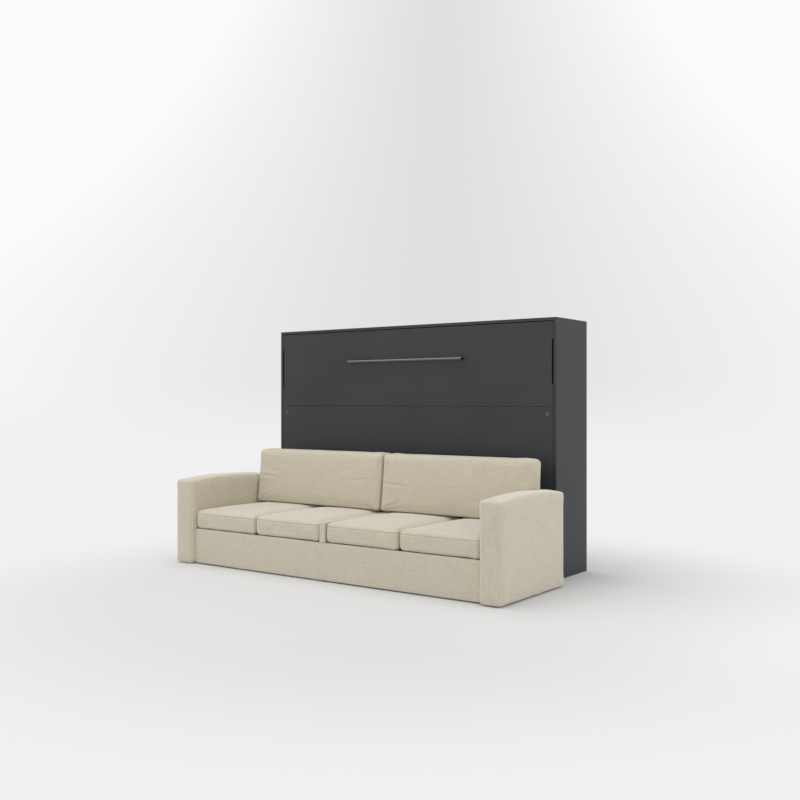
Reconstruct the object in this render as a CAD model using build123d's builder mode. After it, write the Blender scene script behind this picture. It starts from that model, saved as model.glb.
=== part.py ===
import os
from math import cos, hypot, radians, sin

from build123d import *

os.makedirs("parts", exist_ok=True)

# Wall bed with a sofa in front, closed. X runs along the bed, the wall is at the high Y end,
# and the origin lies on the floor in the middle of the whole unit.

# Cabinet
cabinet_width = 2170.0
cabinet_height = 1535.0
cabinet_depth = 409.0
board = 18.0
plinth_height = 58.0
plinth_setback = 30.0
wall_rail_height = 140.0
lower_wall_rail_bottom = 60.0
wall_hole_radius = 4.0
wall_hole_spacing = 1600.0
wall_hole_rise = 80.0

# Bed front panel
front_side_gap = 3.5
front_top_gap = 5.0
front_foot_gap = 70.0
groove_drop = 504.0
groove_width = 3.0
groove_depth = 2.5
groove_end_inset = 38.0
slot_depth = 9.0
slot_foot_room = 10.0
slot_head_room = 15.0
slot_corner = 4.0

# Bar handle
handle_length = 900.0
handle_drop = 208.0
handle_reach = 38.0
handle_bar = 12.0
handle_bar_depth = 10.0
handle_corner = 4.0
handle_screw_radius = 2.0
handle_screw_bite = 12.0
screw_hole_gap = 0.2
screw_head_radius = 4.5
screw_head_height = 2.5

# Panel bolts
panel_bolt_drop = 45.0
panel_bolt_radius = 4.0
panel_bolt_head_radius = 11.0
panel_bolt_head_height = 2.0
panel_bolt_socket_radius = 4.5
panel_bolt_socket_depth = 1.5
panel_nut_height = 5.0
panel_nut_radius = 7.0

# Bed frame of steel tube
frame_bottom = 88.0
frame_top_gap = 29.0
end_rail_width = 25.0
rail_depth = 30.0
long_rail_height = 30.0
centre_rail_height = 40.0
tube_wall = 2.0
spring_room = 27.0

# Slats
slat_count = 14
slat_width = 70.0
slat_thickness = 8.0
slat_corner = 3.0
slat_gap = 0.3
slat_end_gap = 50.5
holder_wall = 2.2
holder_base = 3.0
holder_grip = 13.0
holder_back_gap = 0.5

# Mattress and straps
mattress_end_gap = 15.0
mattress_thickness = 140.0
mattress_corner = 40.0
mattress_edge = 18.0
soft_gap = 0.3
strap_width = 40.0
strap_thickness = 2.0
strap_offset = 600.0
strap_start = 8.0

# Hinges of the bed
hinge_height = 410.0
hinge_pin_radius = 6.0
hinge_shoulder_radius = 9.0
hinge_plate_width = 56.0
hinge_plate_height = 120.0
hinge_plate_corner = 8.0
plate_thickness = 3.0
running_gap = 0.05
side_play = 0.5
bush_wall = 3.0
bush_flange = 1.5
bush_flange_radius = 12.0
bush_overhang = 1.0
hinge_screw_radius = 2.5
hinge_screw_depth = 12.0
hinge_screw_spacing_y = 36.0
hinge_screw_spacing_z = 96.0
hinge_screw_head_radius = 4.5

# Closing stops under the top panel
stop_length = 30.0
stop_depth = 22.0
stop_height = 20.0
stop_inset = 29.0
stop_gap = 0.3
stop_corner = 3.0

# Fold-out legs
leg_pivot_drop = 125.0
leg_width = 22.0
leg_thickness = 8.0
leg_length = 238.0
leg_edge_gap = 0.5
leg_wall = 1.5
leg_head_solid = 14.0
leg_pin_radius = 4.0
leg_boss_radius = 10.0
leg_boss_gap = 0.3
foot_pad_height = 9.7
foot_slide_gap = 0.3
foot_bar_top = 24.0

# Gas springs
spring_anchor_depth = 110.0
spring_anchor_rise = 210.0
spring_stud_drop = 130.0
spring_tube_radius = 9.0
spring_tube_wall = 3.0
spring_tube_start = 12.0
spring_rod_reach = 162.4
spring_bore_start = 24.0
spring_gland = 10.0
spring_rod_radius = 4.0
spring_piston_length = 8.0
spring_piston_gap = 0.1
spring_eye_radius = 8.0
spring_eye_thickness = 10.0
spring_pin_radius = 4.0
spring_neck_radius = 5.0
spring_neck_start = 6.0
spring_wall_gap = 0.5
spring_stud_radius = 5.0
spring_open_gap = 0.3
spring_plate_width = 40.0
spring_plate_height = 60.0
spring_shoulder_radius = 7.0

# Sofa
sofa_reach = 860.0
sofa_back_gap = 140.0
sofa_arm_gap = 1.0
arm_width = 142.0
arm_height = 535.0
arm_crown = 22.0
arm_corner = 28.0
arm_edge = 24.0
arm_cover_wall = 22.0
arm_frame_rail = 60.0
arm_frame_top_gap = 39.0
arm_bolt_radius = 4.0
arm_bolt_head_radius = 8.0
arm_bolt_head_height = 3.0
arm_bolt_height = 36.0
arm_bolt_spacing = 400.0
glide_height = 6.0
glide_radius = 15.0
sofa_front_setback = 38.0
front_rail_depth = 22.0
front_rail_edge = 8.0
seat_deck_top = 226.0
rear_board_rise = 119.0
rear_board_tuck = 1.7
divider_width = 44.0
divider_rise = 119.0
divider_proud = 2.0
divider_back_inset = 18.0
divider_edge = 6.0
bracket_height = 40.0
bracket_bottom = 10.0
bracket_thickness = 4.0
bracket_flange = 40.0
bracket_offset = 800.0

# Seat cushions
seat_edge_rise = 115.0
seat_crown = 23.0
seat_inner_edge = 31.0
seat_outer_gap = 12.0
seat_joint_gap = 10.0
seat_top_corner = 20.0
seat_bottom_corner = 8.0
seat_draw = 6.0
seat_rear_gap = 3.2

# Back cushions
back_cushion_rise = 129.25
back_cushion_height = 350.0
back_cushion_foot_depth = 166.0
back_cushion_lean = 44.0
back_cushion_rear_gap = 112.0
back_cushion_gap = 10.0
back_cushion_end_gap = 22.0
back_cushion_bulge = 12.0
back_cushion_crown = 7.0
back_cushion_corner = 24.0
back_cushion_bulge_radius = 420.0
back_cushion_crown_radius = 260.0
back_cushion_draw = 9.0

# Shares along a cushion's length, with how much of its draw and of its crown each place has
cushion_place_shares = (0.0, 0.06, 0.5, 0.94, 1.0)
cushion_draw_shares = (1.0, 0.15, 0.0, 0.15, 1.0)
cushion_crown_shares = (0.45, 0.7, 1.0, 0.7, 0.45)

# Places worked out from the sizes
front_y = (cabinet_depth + sofa_reach) / 2 - cabinet_depth
back_y = front_y + cabinet_depth
inner_half = cabinet_width / 2 - board
top_underside = cabinet_height - board
panel_half = inner_half - front_side_gap
panel_bottom = front_foot_gap
panel_top = top_underside - front_top_gap
panel_back_y = front_y + board
rail_back_y = panel_back_y + rail_depth
rail_mid_y = panel_back_y + rail_depth / 2
end_rail_out = inner_half - spring_room
end_rail_in = end_rail_out - end_rail_width
end_rail_mid = (end_rail_out + end_rail_in) / 2
frame_top = top_underside - frame_top_gap
frame_height = frame_top - frame_bottom
frame_mid_z = (frame_bottom + frame_top) / 2
plate_face = inner_half - plate_thickness
hinge_y = rail_mid_y
handle_height = top_underside - handle_drop
groove_height = top_underside - groove_drop
panel_bolt_x = end_rail_mid
panel_bolt_height = groove_height - panel_bolt_drop
leg_pivot_height = top_underside - leg_pivot_drop
leg_bottom = leg_pivot_height - leg_length
slot_bottom = leg_bottom - slot_foot_room
slot_top = leg_pivot_height + slot_head_room
mattress_front_y = rail_back_y + soft_gap
mattress_back_y = mattress_front_y + mattress_thickness
sides = (("left", -1), ("right", 1))


def save(piece, name):
    """Label one sub-part and write it."""
    piece.part.label = name
    export_step(piece.part, f"parts/{name}.step")


def block(x_span, y_span, z_span, mode=Mode.ADD):
    """Add a box that fills three spans."""
    spans = (x_span, y_span, z_span)
    with Locations(tuple((low + high) / 2 for low, high in spans)):
        Box(*(abs(high - low) for low, high in spans), mode=mode)


def disc_x(radius, x_span, y, z, mode=Mode.ADD):
    """Add a round bar along X."""
    with Locations(Location(((x_span[0] + x_span[1]) / 2, y, z), (0, 90, 0))):
        Cylinder(radius, abs(x_span[1] - x_span[0]), mode=mode)


def disc_y(radius, y_span, x, z, mode=Mode.ADD):
    """Add a round bar along Y."""
    with Locations(Location((x, (y_span[0] + y_span[1]) / 2, z), (90, 0, 0))):
        Cylinder(radius, abs(y_span[1] - y_span[0]), mode=mode)


# Cabinet boards
for side_name, side in sides:
    with BuildPart() as side_panel:
        block((side * inner_half, side * cabinet_width / 2), (front_y, back_y), (0, cabinet_height))
        for step_y in (-1, 1):
            for step_z in (-1, 1):
                hole_y = hinge_y + step_y * hinge_screw_spacing_y / 2
                hole_z = hinge_height + step_z * hinge_screw_spacing_z / 2
                hole_span = (side * inner_half, side * (inner_half + hinge_screw_depth))
                disc_x(hinge_screw_radius, hole_span, hole_y, hole_z, mode=Mode.SUBTRACT)
    save(side_panel, f"side_panel_{side_name}")

with BuildPart() as top_panel:
    block((-inner_half, inner_half), (front_y, back_y), (top_underside, cabinet_height))
save(top_panel, "top_panel")

plinth_y = front_y + plinth_setback
with BuildPart() as plinth_rail:
    block((-inner_half, inner_half), (plinth_y, plinth_y + board), (0, plinth_height))
save(plinth_rail, "plinth_rail")

upper_rail_bottom = top_underside - wall_rail_height
with BuildPart() as wall_rail_upper:
    block((-inner_half, inner_half), (back_y - board, back_y), (upper_rail_bottom, top_underside))
    with Locations(Plane.XZ.offset(board - back_y)):
        with Locations((0, upper_rail_bottom + wall_rail_height / 2)):
            with GridLocations(wall_hole_spacing, wall_hole_rise, 2, 2):
                Hole(wall_hole_radius)
save(wall_rail_upper, "wall_rail_upper")

lower_rail_span = (lower_wall_rail_bottom, lower_wall_rail_bottom + wall_rail_height)
with BuildPart() as wall_rail_lower:
    block((-inner_half, inner_half), (back_y - board, back_y), lower_rail_span)
save(wall_rail_lower, "wall_rail_lower")

stop_front_y = panel_back_y + stop_gap
with BuildPart() as closing_stops:
    for side_name, side in sides:
        stop_out = inner_half - stop_inset
        stop_x_span = (side * (stop_out - stop_length), side * stop_out)
        stop_z_span = (top_underside - stop_height, top_underside)
        block(stop_x_span, (stop_front_y, stop_front_y + stop_depth), stop_z_span)
    fillet(closing_stops.edges().filter_by(Axis.Z), stop_corner)
save(closing_stops, "closing_stops")

# Hinge plates with their pins
pin_end = end_rail_in - bush_overhang
for side_name, side in sides:
    with BuildPart() as hinge_plate:
        with BuildSketch(Plane.YZ.offset(side * plate_face)):
            with Locations((hinge_y, hinge_height)):
                RectangleRounded(hinge_plate_width, hinge_plate_height, hinge_plate_corner)
        extrude(amount=side * plate_thickness)
        with Locations(Location((side * plate_face, hinge_y, hinge_height), (0, -90 * side, 0))):
            with GridLocations(hinge_screw_spacing_z, hinge_screw_spacing_y, 2, 2):
                CounterSinkHole(hinge_screw_radius, hinge_screw_head_radius, plate_thickness, 90)
        shoulder_end = end_rail_out + bush_flange + side_play
        disc_x(hinge_shoulder_radius, (side * shoulder_end, side * plate_face), hinge_y, hinge_height)
        disc_x(hinge_pin_radius, (side * pin_end, side * shoulder_end), hinge_y, hinge_height)
    save(hinge_plate, f"hinge_plate_{side_name}")

with BuildPart() as hinge_screws:
    for side_name, side in sides:
        for step_y in (-1, 1):
            for step_z in (-1, 1):
                screw_y = hinge_y + step_y * hinge_screw_spacing_y / 2
                screw_z = hinge_height + step_z * hinge_screw_spacing_z / 2
                shank = (side * plate_face, side * (inner_half + hinge_screw_depth))
                disc_x(hinge_screw_radius, shank, screw_y, screw_z)
                head_height = hinge_screw_head_radius - hinge_screw_radius
                head_x = side * (plate_face + head_height / 2)
                with Locations(Location((head_x, screw_y, screw_z), (0, 90 * side, 0))):
                    Cone(hinge_screw_head_radius, hinge_screw_radius, head_height)
save(hinge_screws, "hinge_screws")

# Bed front panel
groove_half = panel_half - groove_end_inset
with BuildPart() as front_panel:
    with BuildSketch(Plane.XZ.offset(-front_y)):
        with Locations((0, (panel_bottom + panel_top) / 2)):
            Rectangle(2 * panel_half, panel_top - panel_bottom)
        slot_mid_z = (slot_bottom + slot_top) / 2
        with Locations((-panel_half, slot_mid_z), (panel_half, slot_mid_z)):
            RectangleRounded(2 * slot_depth, slot_top - slot_bottom, slot_corner, mode=Mode.SUBTRACT)
    extrude(amount=-board)
    with BuildSketch(Plane.YZ.offset(-groove_half)):
        with BuildLine():
            groove_low = groove_height - groove_width / 2
            groove_high = groove_height + groove_width / 2
            groove_floor = (front_y + groove_depth, groove_height)
            Polyline((front_y, groove_low), (front_y, groove_high), groove_floor, close=True)
        make_face()
    extrude(amount=2 * groove_half, mode=Mode.SUBTRACT)
    for side_name, side in sides:
        bolt_hole = panel_bolt_radius + screw_hole_gap
        bolt_x = side * panel_bolt_x
        disc_y(bolt_hole, (front_y, panel_back_y), bolt_x, panel_bolt_height, mode=Mode.SUBTRACT)
        screw_x = side * (handle_length - handle_bar) / 2
        screw_hole = handle_screw_radius + screw_hole_gap
        disc_y(screw_hole, (front_y, panel_back_y), screw_x, handle_height, mode=Mode.SUBTRACT)
save(front_panel, "front_panel")

handle_front_y = front_y - handle_reach
with BuildPart() as pull_handle:
    with BuildSketch(Plane.XY.offset(handle_height - handle_bar / 2)):
        with Locations((0, front_y - handle_reach / 2)):
            Rectangle(handle_length, handle_reach)
        with Locations((0, front_y - (handle_reach - handle_bar_depth) / 2)):
            Rectangle(handle_length - 2 * handle_bar, handle_reach - handle_bar_depth, mode=Mode.SUBTRACT)
    extrude(amount=handle_bar)
    fillet(pull_handle.edges().filter_by(Axis.Z).group_by(Axis.Y)[0], handle_corner)
    for side_name, side in sides:
        screw_x = side * (handle_length - handle_bar) / 2
        bite_span = (front_y - handle_screw_bite, front_y)
        disc_y(handle_screw_radius, bite_span, screw_x, handle_height, mode=Mode.SUBTRACT)
save(pull_handle, "pull_handle")

with BuildPart() as handle_screws:
    for side_name, side in sides:
        screw_x = side * (handle_length - handle_bar) / 2
        disc_y(handle_screw_radius, (front_y - handle_screw_bite, panel_back_y), screw_x, handle_height)
        disc_y(screw_head_radius, (panel_back_y, panel_back_y + screw_head_height), screw_x, handle_height)
save(handle_screws, "handle_screws")

with BuildPart() as panel_bolts:
    for side_name, side in sides:
        head_y = front_y - panel_bolt_head_height
        bolt_x = side * panel_bolt_x
        disc_y(panel_bolt_radius, (front_y, rail_back_y + panel_nut_height), bolt_x, panel_bolt_height)
        disc_y(panel_bolt_head_radius, (head_y, front_y), bolt_x, panel_bolt_height)
        socket_span = (head_y, head_y + panel_bolt_socket_depth)
        disc_y(panel_bolt_socket_radius, socket_span, bolt_x, panel_bolt_height, mode=Mode.SUBTRACT)
save(panel_bolts, "panel_bolts")

with BuildPart() as panel_nuts:
    with BuildSketch(Plane.XZ.offset(-rail_back_y)):
        with Locations((-panel_bolt_x, panel_bolt_height), (panel_bolt_x, panel_bolt_height)):
            RegularPolygon(panel_nut_radius, 6)
            Circle(panel_bolt_radius, mode=Mode.SUBTRACT)
    extrude(amount=-panel_nut_height)
save(panel_nuts, "panel_nuts")

# Bed frame
bush_radius = hinge_pin_radius + running_gap + bush_wall
for side_name, side in sides:
    with BuildPart() as end_rail:
        with BuildSketch(Plane.XY.offset(frame_bottom)):
            with Locations((side * end_rail_mid, rail_mid_y)):
                Rectangle(end_rail_width, rail_depth)
                Rectangle(end_rail_width - 2 * tube_wall, rail_depth - 2 * tube_wall, mode=Mode.SUBTRACT)
        extrude(amount=frame_height)
        rail_span = (side * end_rail_in, side * end_rail_out)
        disc_x(bush_radius, rail_span, hinge_y, hinge_height, mode=Mode.SUBTRACT)
        bolt_hole = panel_bolt_radius + screw_hole_gap
        bolt_span = (panel_back_y, rail_back_y)
        disc_y(bolt_hole, bolt_span, side * panel_bolt_x, panel_bolt_height, mode=Mode.SUBTRACT)
    save(end_rail, f"end_rail_{side_name}")

for rail_name, rail_z in (("rail_bottom", frame_bottom), ("rail_top", frame_top - long_rail_height)):
    with BuildPart() as long_rail:
        with BuildSketch(Plane.YZ.offset(-end_rail_in)):
            with Locations((rail_mid_y, rail_z + long_rail_height / 2)):
                Rectangle(rail_depth, long_rail_height)
                Rectangle(rail_depth - 2 * tube_wall, long_rail_height - 2 * tube_wall, mode=Mode.SUBTRACT)
        extrude(amount=2 * end_rail_in)
    save(long_rail, rail_name)

holder_back_y = rail_back_y - holder_back_gap
slat_back_y = holder_back_y - holder_wall - slat_gap
slat_front_y = slat_back_y - slat_thickness
centre_rail_depth = slat_front_y - slat_gap - panel_back_y
with BuildPart() as centre_rail:
    with BuildSketch(Plane.YZ.offset(-end_rail_in)):
        with Locations((panel_back_y + centre_rail_depth / 2, frame_mid_z)):
            Rectangle(centre_rail_depth, centre_rail_height)
            bore_depth = centre_rail_depth - 2 * tube_wall
            Rectangle(bore_depth, centre_rail_height - 2 * tube_wall, mode=Mode.SUBTRACT)
    extrude(amount=2 * end_rail_in)
save(centre_rail, "centre_rail")

slat_mid_y = (slat_front_y + slat_back_y) / 2
slat_bottom = frame_bottom + long_rail_height + holder_base + slat_gap
slat_length = 2 * (frame_mid_z - slat_bottom)
slat_pitch = (2 * (end_rail_in - slat_end_gap) - slat_width) / (slat_count - 1)
with BuildPart() as slats:
    with BuildSketch(Plane.XY.offset(slat_bottom)):
        with Locations((0, slat_mid_y)):
            with GridLocations(slat_pitch, slat_width, slat_count, 1):
                RectangleRounded(slat_width, slat_thickness, slat_corner)
    extrude(amount=slat_length)
save(slats, "slats")

holder_bottom = frame_bottom + long_rail_height
pocket_width = slat_width + 2 * slat_gap
pocket_depth = slat_thickness + 2 * slat_gap
with BuildPart() as slat_holders:
    with BuildSketch(Plane.XY.offset(holder_bottom)):
        with Locations((0, slat_mid_y)):
            with GridLocations(slat_pitch, slat_width, slat_count, 1):
                Rectangle(pocket_width + 2 * holder_wall, pocket_depth + 2 * holder_wall)
    extrude(amount=holder_base + holder_grip)
    with BuildSketch(Plane.XY.offset(holder_bottom + holder_base)):
        with Locations((0, slat_mid_y)):
            with GridLocations(slat_pitch, slat_width, slat_count, 1):
                Rectangle(pocket_width, pocket_depth)
    extrude(amount=holder_grip, mode=Mode.SUBTRACT)
    mirror(about=Plane.XY.offset(frame_mid_z))
save(slat_holders, "slat_holders")

# Mattress and straps
mattress_length = 2 * (end_rail_in - mattress_end_gap)
with BuildPart() as mattress:
    with BuildSketch(Plane.XZ.offset(-mattress_front_y)):
        with Locations((0, frame_mid_z)):
            RectangleRounded(mattress_length, frame_height, mattress_corner)
    extrude(amount=-mattress_thickness)
    mattress_faces = mattress.faces().sort_by(Axis.Y)
    fillet(mattress_faces[0].edges() + mattress_faces[-1].edges(), mattress_edge)
save(mattress, "mattress")

strap_inner_back = mattress_back_y + soft_gap
strap_cut_y = panel_back_y + strap_start
strap_inner_depth = strap_inner_back - strap_cut_y + 2 * mattress_corner
strap_inner_height = frame_height + 2 * soft_gap
strap_outer_radius = mattress_edge + strap_thickness
with BuildPart() as mattress_straps:
    for side_name, side in sides:
        with BuildSketch(Plane.YZ.offset(side * strap_offset - strap_width / 2)):
            with Locations((strap_inner_back - strap_inner_depth / 2, frame_mid_z)):
                outer_depth = strap_inner_depth + 2 * strap_thickness
                outer_height = strap_inner_height + 2 * strap_thickness
                RectangleRounded(outer_depth, outer_height, strap_outer_radius)
                RectangleRounded(strap_inner_depth, strap_inner_height, mattress_edge, mode=Mode.SUBTRACT)
            with Locations((strap_cut_y - strap_inner_depth / 2, frame_mid_z)):
                Rectangle(strap_inner_depth, 2 * strap_inner_height, mode=Mode.SUBTRACT)
        extrude(amount=strap_width)
save(mattress_straps, "mattress_straps")

# Bushes, leg brackets and spring studs on the end rails
with BuildPart() as hinge_bushes:
    for side_name, side in sides:
        sleeve_span = (side * pin_end, side * end_rail_out)
        disc_x(bush_radius, sleeve_span, hinge_y, hinge_height)
        flange_span = (side * end_rail_out, side * (end_rail_out + bush_flange))
        disc_x(bush_flange_radius, flange_span, hinge_y, hinge_height)
        bore_span = (side * pin_end, side * (end_rail_out + bush_flange))
        disc_x(hinge_pin_radius + running_gap, bore_span, hinge_y, hinge_height, mode=Mode.SUBTRACT)
save(hinge_bushes, "hinge_bushes")

leg_out = panel_half - leg_edge_gap
leg_in = leg_out - leg_thickness
with BuildPart() as leg_brackets:
    for side_name, side in sides:
        boss_span = (side * end_rail_out, side * (leg_in - leg_boss_gap))
        disc_x(leg_boss_radius, boss_span, hinge_y, leg_pivot_height)
        pin_span = (side * (leg_in - leg_boss_gap), side * leg_out)
        disc_x(leg_pin_radius, pin_span, hinge_y, leg_pivot_height)
save(leg_brackets, "leg_brackets")

spring_mid_x = inner_half - plate_thickness - spring_wall_gap - spring_tube_radius
eye_in = spring_mid_x - spring_eye_thickness / 2
eye_out = spring_mid_x + spring_eye_thickness / 2
stud_height = hinge_height - spring_stud_drop
spring_anchor_height = hinge_height + spring_anchor_rise
with BuildPart() as spring_studs:
    for side_name, side in sides:
        stud_span = (side * end_rail_out, side * (eye_in - spring_open_gap))
        disc_x(spring_stud_radius, stud_span, hinge_y, stud_height)
save(spring_studs, "spring_studs")

# Fold-out legs with telescopic feet
sleeve_bottom = leg_bottom + foot_pad_height + foot_slide_gap
leg_mid_x = (leg_in + leg_out) / 2
leg_half = leg_width / 2
cavity_half_x = leg_thickness / 2 - leg_wall
cavity_half_y = leg_half - leg_wall
for side_name, side in sides:
    with BuildPart() as leg_sleeve:
        with BuildSketch(Plane.YZ.offset(side * leg_in)):
            with Locations((hinge_y, leg_pivot_height)):
                Circle(leg_half)
            with Locations((hinge_y, (leg_pivot_height + sleeve_bottom) / 2)):
                Rectangle(leg_width, leg_pivot_height - sleeve_bottom)
            with Locations((hinge_y, leg_pivot_height)):
                Circle(leg_pin_radius + running_gap, mode=Mode.SUBTRACT)
        extrude(amount=side * leg_thickness)
        cavity_x = (side * leg_mid_x - cavity_half_x, side * leg_mid_x + cavity_half_x)
        cavity_y = (hinge_y - cavity_half_y, hinge_y + cavity_half_y)
        block(cavity_x, cavity_y, (sleeve_bottom, leg_pivot_height - leg_head_solid), mode=Mode.SUBTRACT)
    save(leg_sleeve, f"leg_sleeve_{side_name}")

    with BuildPart() as leg_foot:
        bar_half_x = cavity_half_x - foot_slide_gap
        bar_half_y = cavity_half_y - foot_slide_gap
        pad_top = leg_bottom + foot_pad_height
        bar_x = (side * leg_mid_x - bar_half_x, side * leg_mid_x + bar_half_x)
        bar_y = (hinge_y - bar_half_y, hinge_y + bar_half_y)
        block(bar_x, bar_y, (pad_top, leg_pivot_height - foot_bar_top))
        pad_y = (hinge_y - leg_half, hinge_y + leg_half)
        block((side * leg_in, side * leg_out), pad_y, (leg_bottom, pad_top))
    save(leg_foot, f"leg_foot_{side_name}")

# Gas springs, each between the cabinet's mount and the stud on the end rail
anchor_y = hinge_y + spring_anchor_depth
spring_dy = hinge_y - anchor_y
spring_dz = stud_height - spring_anchor_height
spring_length = hypot(spring_dy, spring_dz)
spring_tube_end = spring_length - spring_rod_reach
bore_radius = spring_tube_radius - spring_tube_wall
piston_low = spring_tube_end - spring_gland - spring_piston_length
for side_name, side in sides:
    spring_plane = Plane(
        origin=(side * spring_mid_x, anchor_y, spring_anchor_height),
        x_dir=(1, 0, 0),
        z_dir=(0, spring_dy, spring_dz),
    )
    eye_span = (side * eye_in, side * eye_out)
    with BuildPart() as gas_cylinder:
        disc_x(spring_eye_radius, eye_span, anchor_y, spring_anchor_height)
        with BuildSketch(spring_plane.offset(spring_neck_start)):
            Circle(spring_neck_radius)
        extrude(amount=spring_tube_start)
        with BuildSketch(spring_plane.offset(spring_tube_start)):
            Circle(spring_tube_radius)
        extrude(amount=spring_tube_end - spring_tube_start)
        with BuildSketch(spring_plane.offset(spring_bore_start)):
            Circle(bore_radius)
        extrude(amount=spring_tube_end - spring_gland - spring_bore_start, mode=Mode.SUBTRACT)
        with BuildSketch(spring_plane.offset(spring_tube_end - spring_gland)):
            Circle(spring_rod_radius + running_gap)
        extrude(amount=spring_gland, mode=Mode.SUBTRACT)
        eye_bore = spring_pin_radius + running_gap
        disc_x(eye_bore, eye_span, anchor_y, spring_anchor_height, mode=Mode.SUBTRACT)
    save(gas_cylinder, f"gas_cylinder_{side_name}")

    with BuildPart() as gas_rod:
        disc_x(spring_eye_radius, eye_span, hinge_y, stud_height)
        with BuildSketch(spring_plane.offset(piston_low)):
            Circle(bore_radius - spring_piston_gap)
        extrude(amount=spring_piston_length)
        with BuildSketch(spring_plane.offset(piston_low)):
            Circle(spring_rod_radius)
        extrude(amount=spring_length - spring_neck_start - piston_low)
        disc_x(spring_stud_radius + running_gap, eye_span, hinge_y, stud_height, mode=Mode.SUBTRACT)
    save(gas_rod, f"gas_rod_{side_name}")

    with BuildPart() as spring_mount:
        with BuildSketch(Plane.YZ.offset(side * plate_face)):
            with Locations((anchor_y, spring_anchor_height)):
                RectangleRounded(spring_plate_width, spring_plate_height, hinge_plate_corner)
        extrude(amount=side * plate_thickness)
        shoulder_span = (side * (eye_out + side_play), side * plate_face)
        disc_x(spring_shoulder_radius, shoulder_span, anchor_y, spring_anchor_height)
        disc_x(spring_pin_radius, (side * eye_in, side * plate_face), anchor_y, spring_anchor_height)
    save(spring_mount, f"spring_mount_{side_name}")

# Sofa places
sofa_front_y = front_y - sofa_reach
arm_back_y = front_y - sofa_back_gap
arm_in = inner_half + sofa_arm_gap
arm_out = arm_in + arm_width
arm_mid_y = (sofa_front_y + arm_back_y) / 2
seat_front_y = sofa_front_y + sofa_front_setback
rear_board_front_y = arm_back_y - rear_board_tuck
rear_board_back_y = rear_board_front_y + board
board_out = arm_in - soft_gap
board_in = board_out - board
front_rail_back_y = seat_front_y + front_rail_depth

# Arm rests
cavity_in = arm_in + arm_cover_wall
cavity_out = arm_out - arm_cover_wall
cavity_y_span = (sofa_front_y + arm_cover_wall, arm_back_y - arm_cover_wall)
arm_frame_top = arm_height - arm_frame_top_gap
cavity_top = arm_frame_top + soft_gap
bolt_places = (arm_mid_y - arm_bolt_spacing / 2, arm_mid_y + arm_bolt_spacing / 2)
for side_name, side in sides:
    with BuildPart() as arm_cover:
        with BuildSketch(Plane.YZ.offset(side * arm_in)) as arm_outline:
            with BuildLine():
                Line((sofa_front_y, glide_height), (arm_back_y, glide_height))
                Line((arm_back_y, glide_height), (arm_back_y, arm_height))
                crown_point = (arm_mid_y, arm_height + arm_crown)
                ThreePointArc((arm_back_y, arm_height), crown_point, (sofa_front_y, arm_height))
                Line((sofa_front_y, arm_height), (sofa_front_y, glide_height))
            make_face()
            fillet(arm_outline.vertices(), arm_corner)
        extrude(amount=side * arm_width)
        arm_faces = arm_cover.faces().sort_by(Axis.X)
        fillet(arm_faces[0].edges() + arm_faces[-1].edges(), arm_edge)
        block((side * cavity_in, side * cavity_out), cavity_y_span, (0, cavity_top), mode=Mode.SUBTRACT)
        for bolt_y in bolt_places:
            hole_span = (side * arm_in, side * cavity_in)
            hole_z = glide_height + arm_bolt_height
            disc_x(arm_bolt_radius + screw_hole_gap, hole_span, bolt_y, hole_z, mode=Mode.SUBTRACT)
    save(arm_cover, f"arm_cover_{side_name}")

    with BuildPart() as arm_frame:
        frame_x = (side * (cavity_in + soft_gap), side * (cavity_out - soft_gap))
        frame_y = (cavity_y_span[0] + soft_gap, cavity_y_span[1] - soft_gap)
        block(frame_x, frame_y, (glide_height, arm_frame_top))
        window_z = (glide_height + arm_frame_rail, arm_frame_top - arm_frame_rail)
        half_post = arm_frame_rail / 2
        for window_y in ((frame_y[0] + arm_frame_rail, arm_mid_y - half_post),
                         (arm_mid_y + half_post, frame_y[1] - arm_frame_rail)):
            block(frame_x, window_y, window_z, mode=Mode.SUBTRACT)
        for bolt_y in bolt_places:
            hole_span = (side * (cavity_in + soft_gap), side * (cavity_in + arm_cover_wall))
            hole_z = glide_height + arm_bolt_height
            disc_x(arm_bolt_radius, hole_span, bolt_y, hole_z, mode=Mode.SUBTRACT)
    save(arm_frame, f"arm_frame_{side_name}")

with BuildPart() as arm_bolts:
    for side_name, side in sides:
        for bolt_y in bolt_places:
            bolt_z = glide_height + arm_bolt_height
            disc_x(arm_bolt_radius, (side * board_in, side * (cavity_in + arm_cover_wall)), bolt_y, bolt_z)
            head_span = (side * (board_in - arm_bolt_head_height), side * board_in)
            disc_x(arm_bolt_head_radius, head_span, bolt_y, bolt_z)
save(arm_bolts, "arm_bolts")

# Sofa base
deck_bottom = seat_deck_top - board
with BuildPart() as sofa_front_rail:
    block((-board_out, board_out), (seat_front_y, front_rail_back_y), (glide_height, seat_deck_top))
    fillet(sofa_front_rail.edges().filter_by(Axis.X).group_by(Axis.Y)[0], front_rail_edge)
save(sofa_front_rail, "sofa_front_rail")

rear_board_z = (glide_height, seat_deck_top + rear_board_rise)
with BuildPart() as sofa_rear_board:
    block((-board_out, board_out), (rear_board_front_y, rear_board_back_y), rear_board_z)
save(sofa_rear_board, "sofa_rear_board")

for side_name, side in sides:
    with BuildPart() as end_board:
        board_x = (side * board_in, side * board_out)
        block(board_x, (front_rail_back_y, rear_board_front_y), (glide_height, deck_bottom))
        for bolt_y in bolt_places:
            hole_span = (side * board_in, side * board_out)
            hole_z = glide_height + arm_bolt_height
            disc_x(arm_bolt_radius, hole_span, bolt_y, hole_z, mode=Mode.SUBTRACT)
    save(end_board, f"sofa_end_board_{side_name}")

with BuildPart() as centre_board:
    block((-board / 2, board / 2), (front_rail_back_y, rear_board_front_y), (glide_height, deck_bottom))
save(centre_board, "sofa_centre_board")

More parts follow.
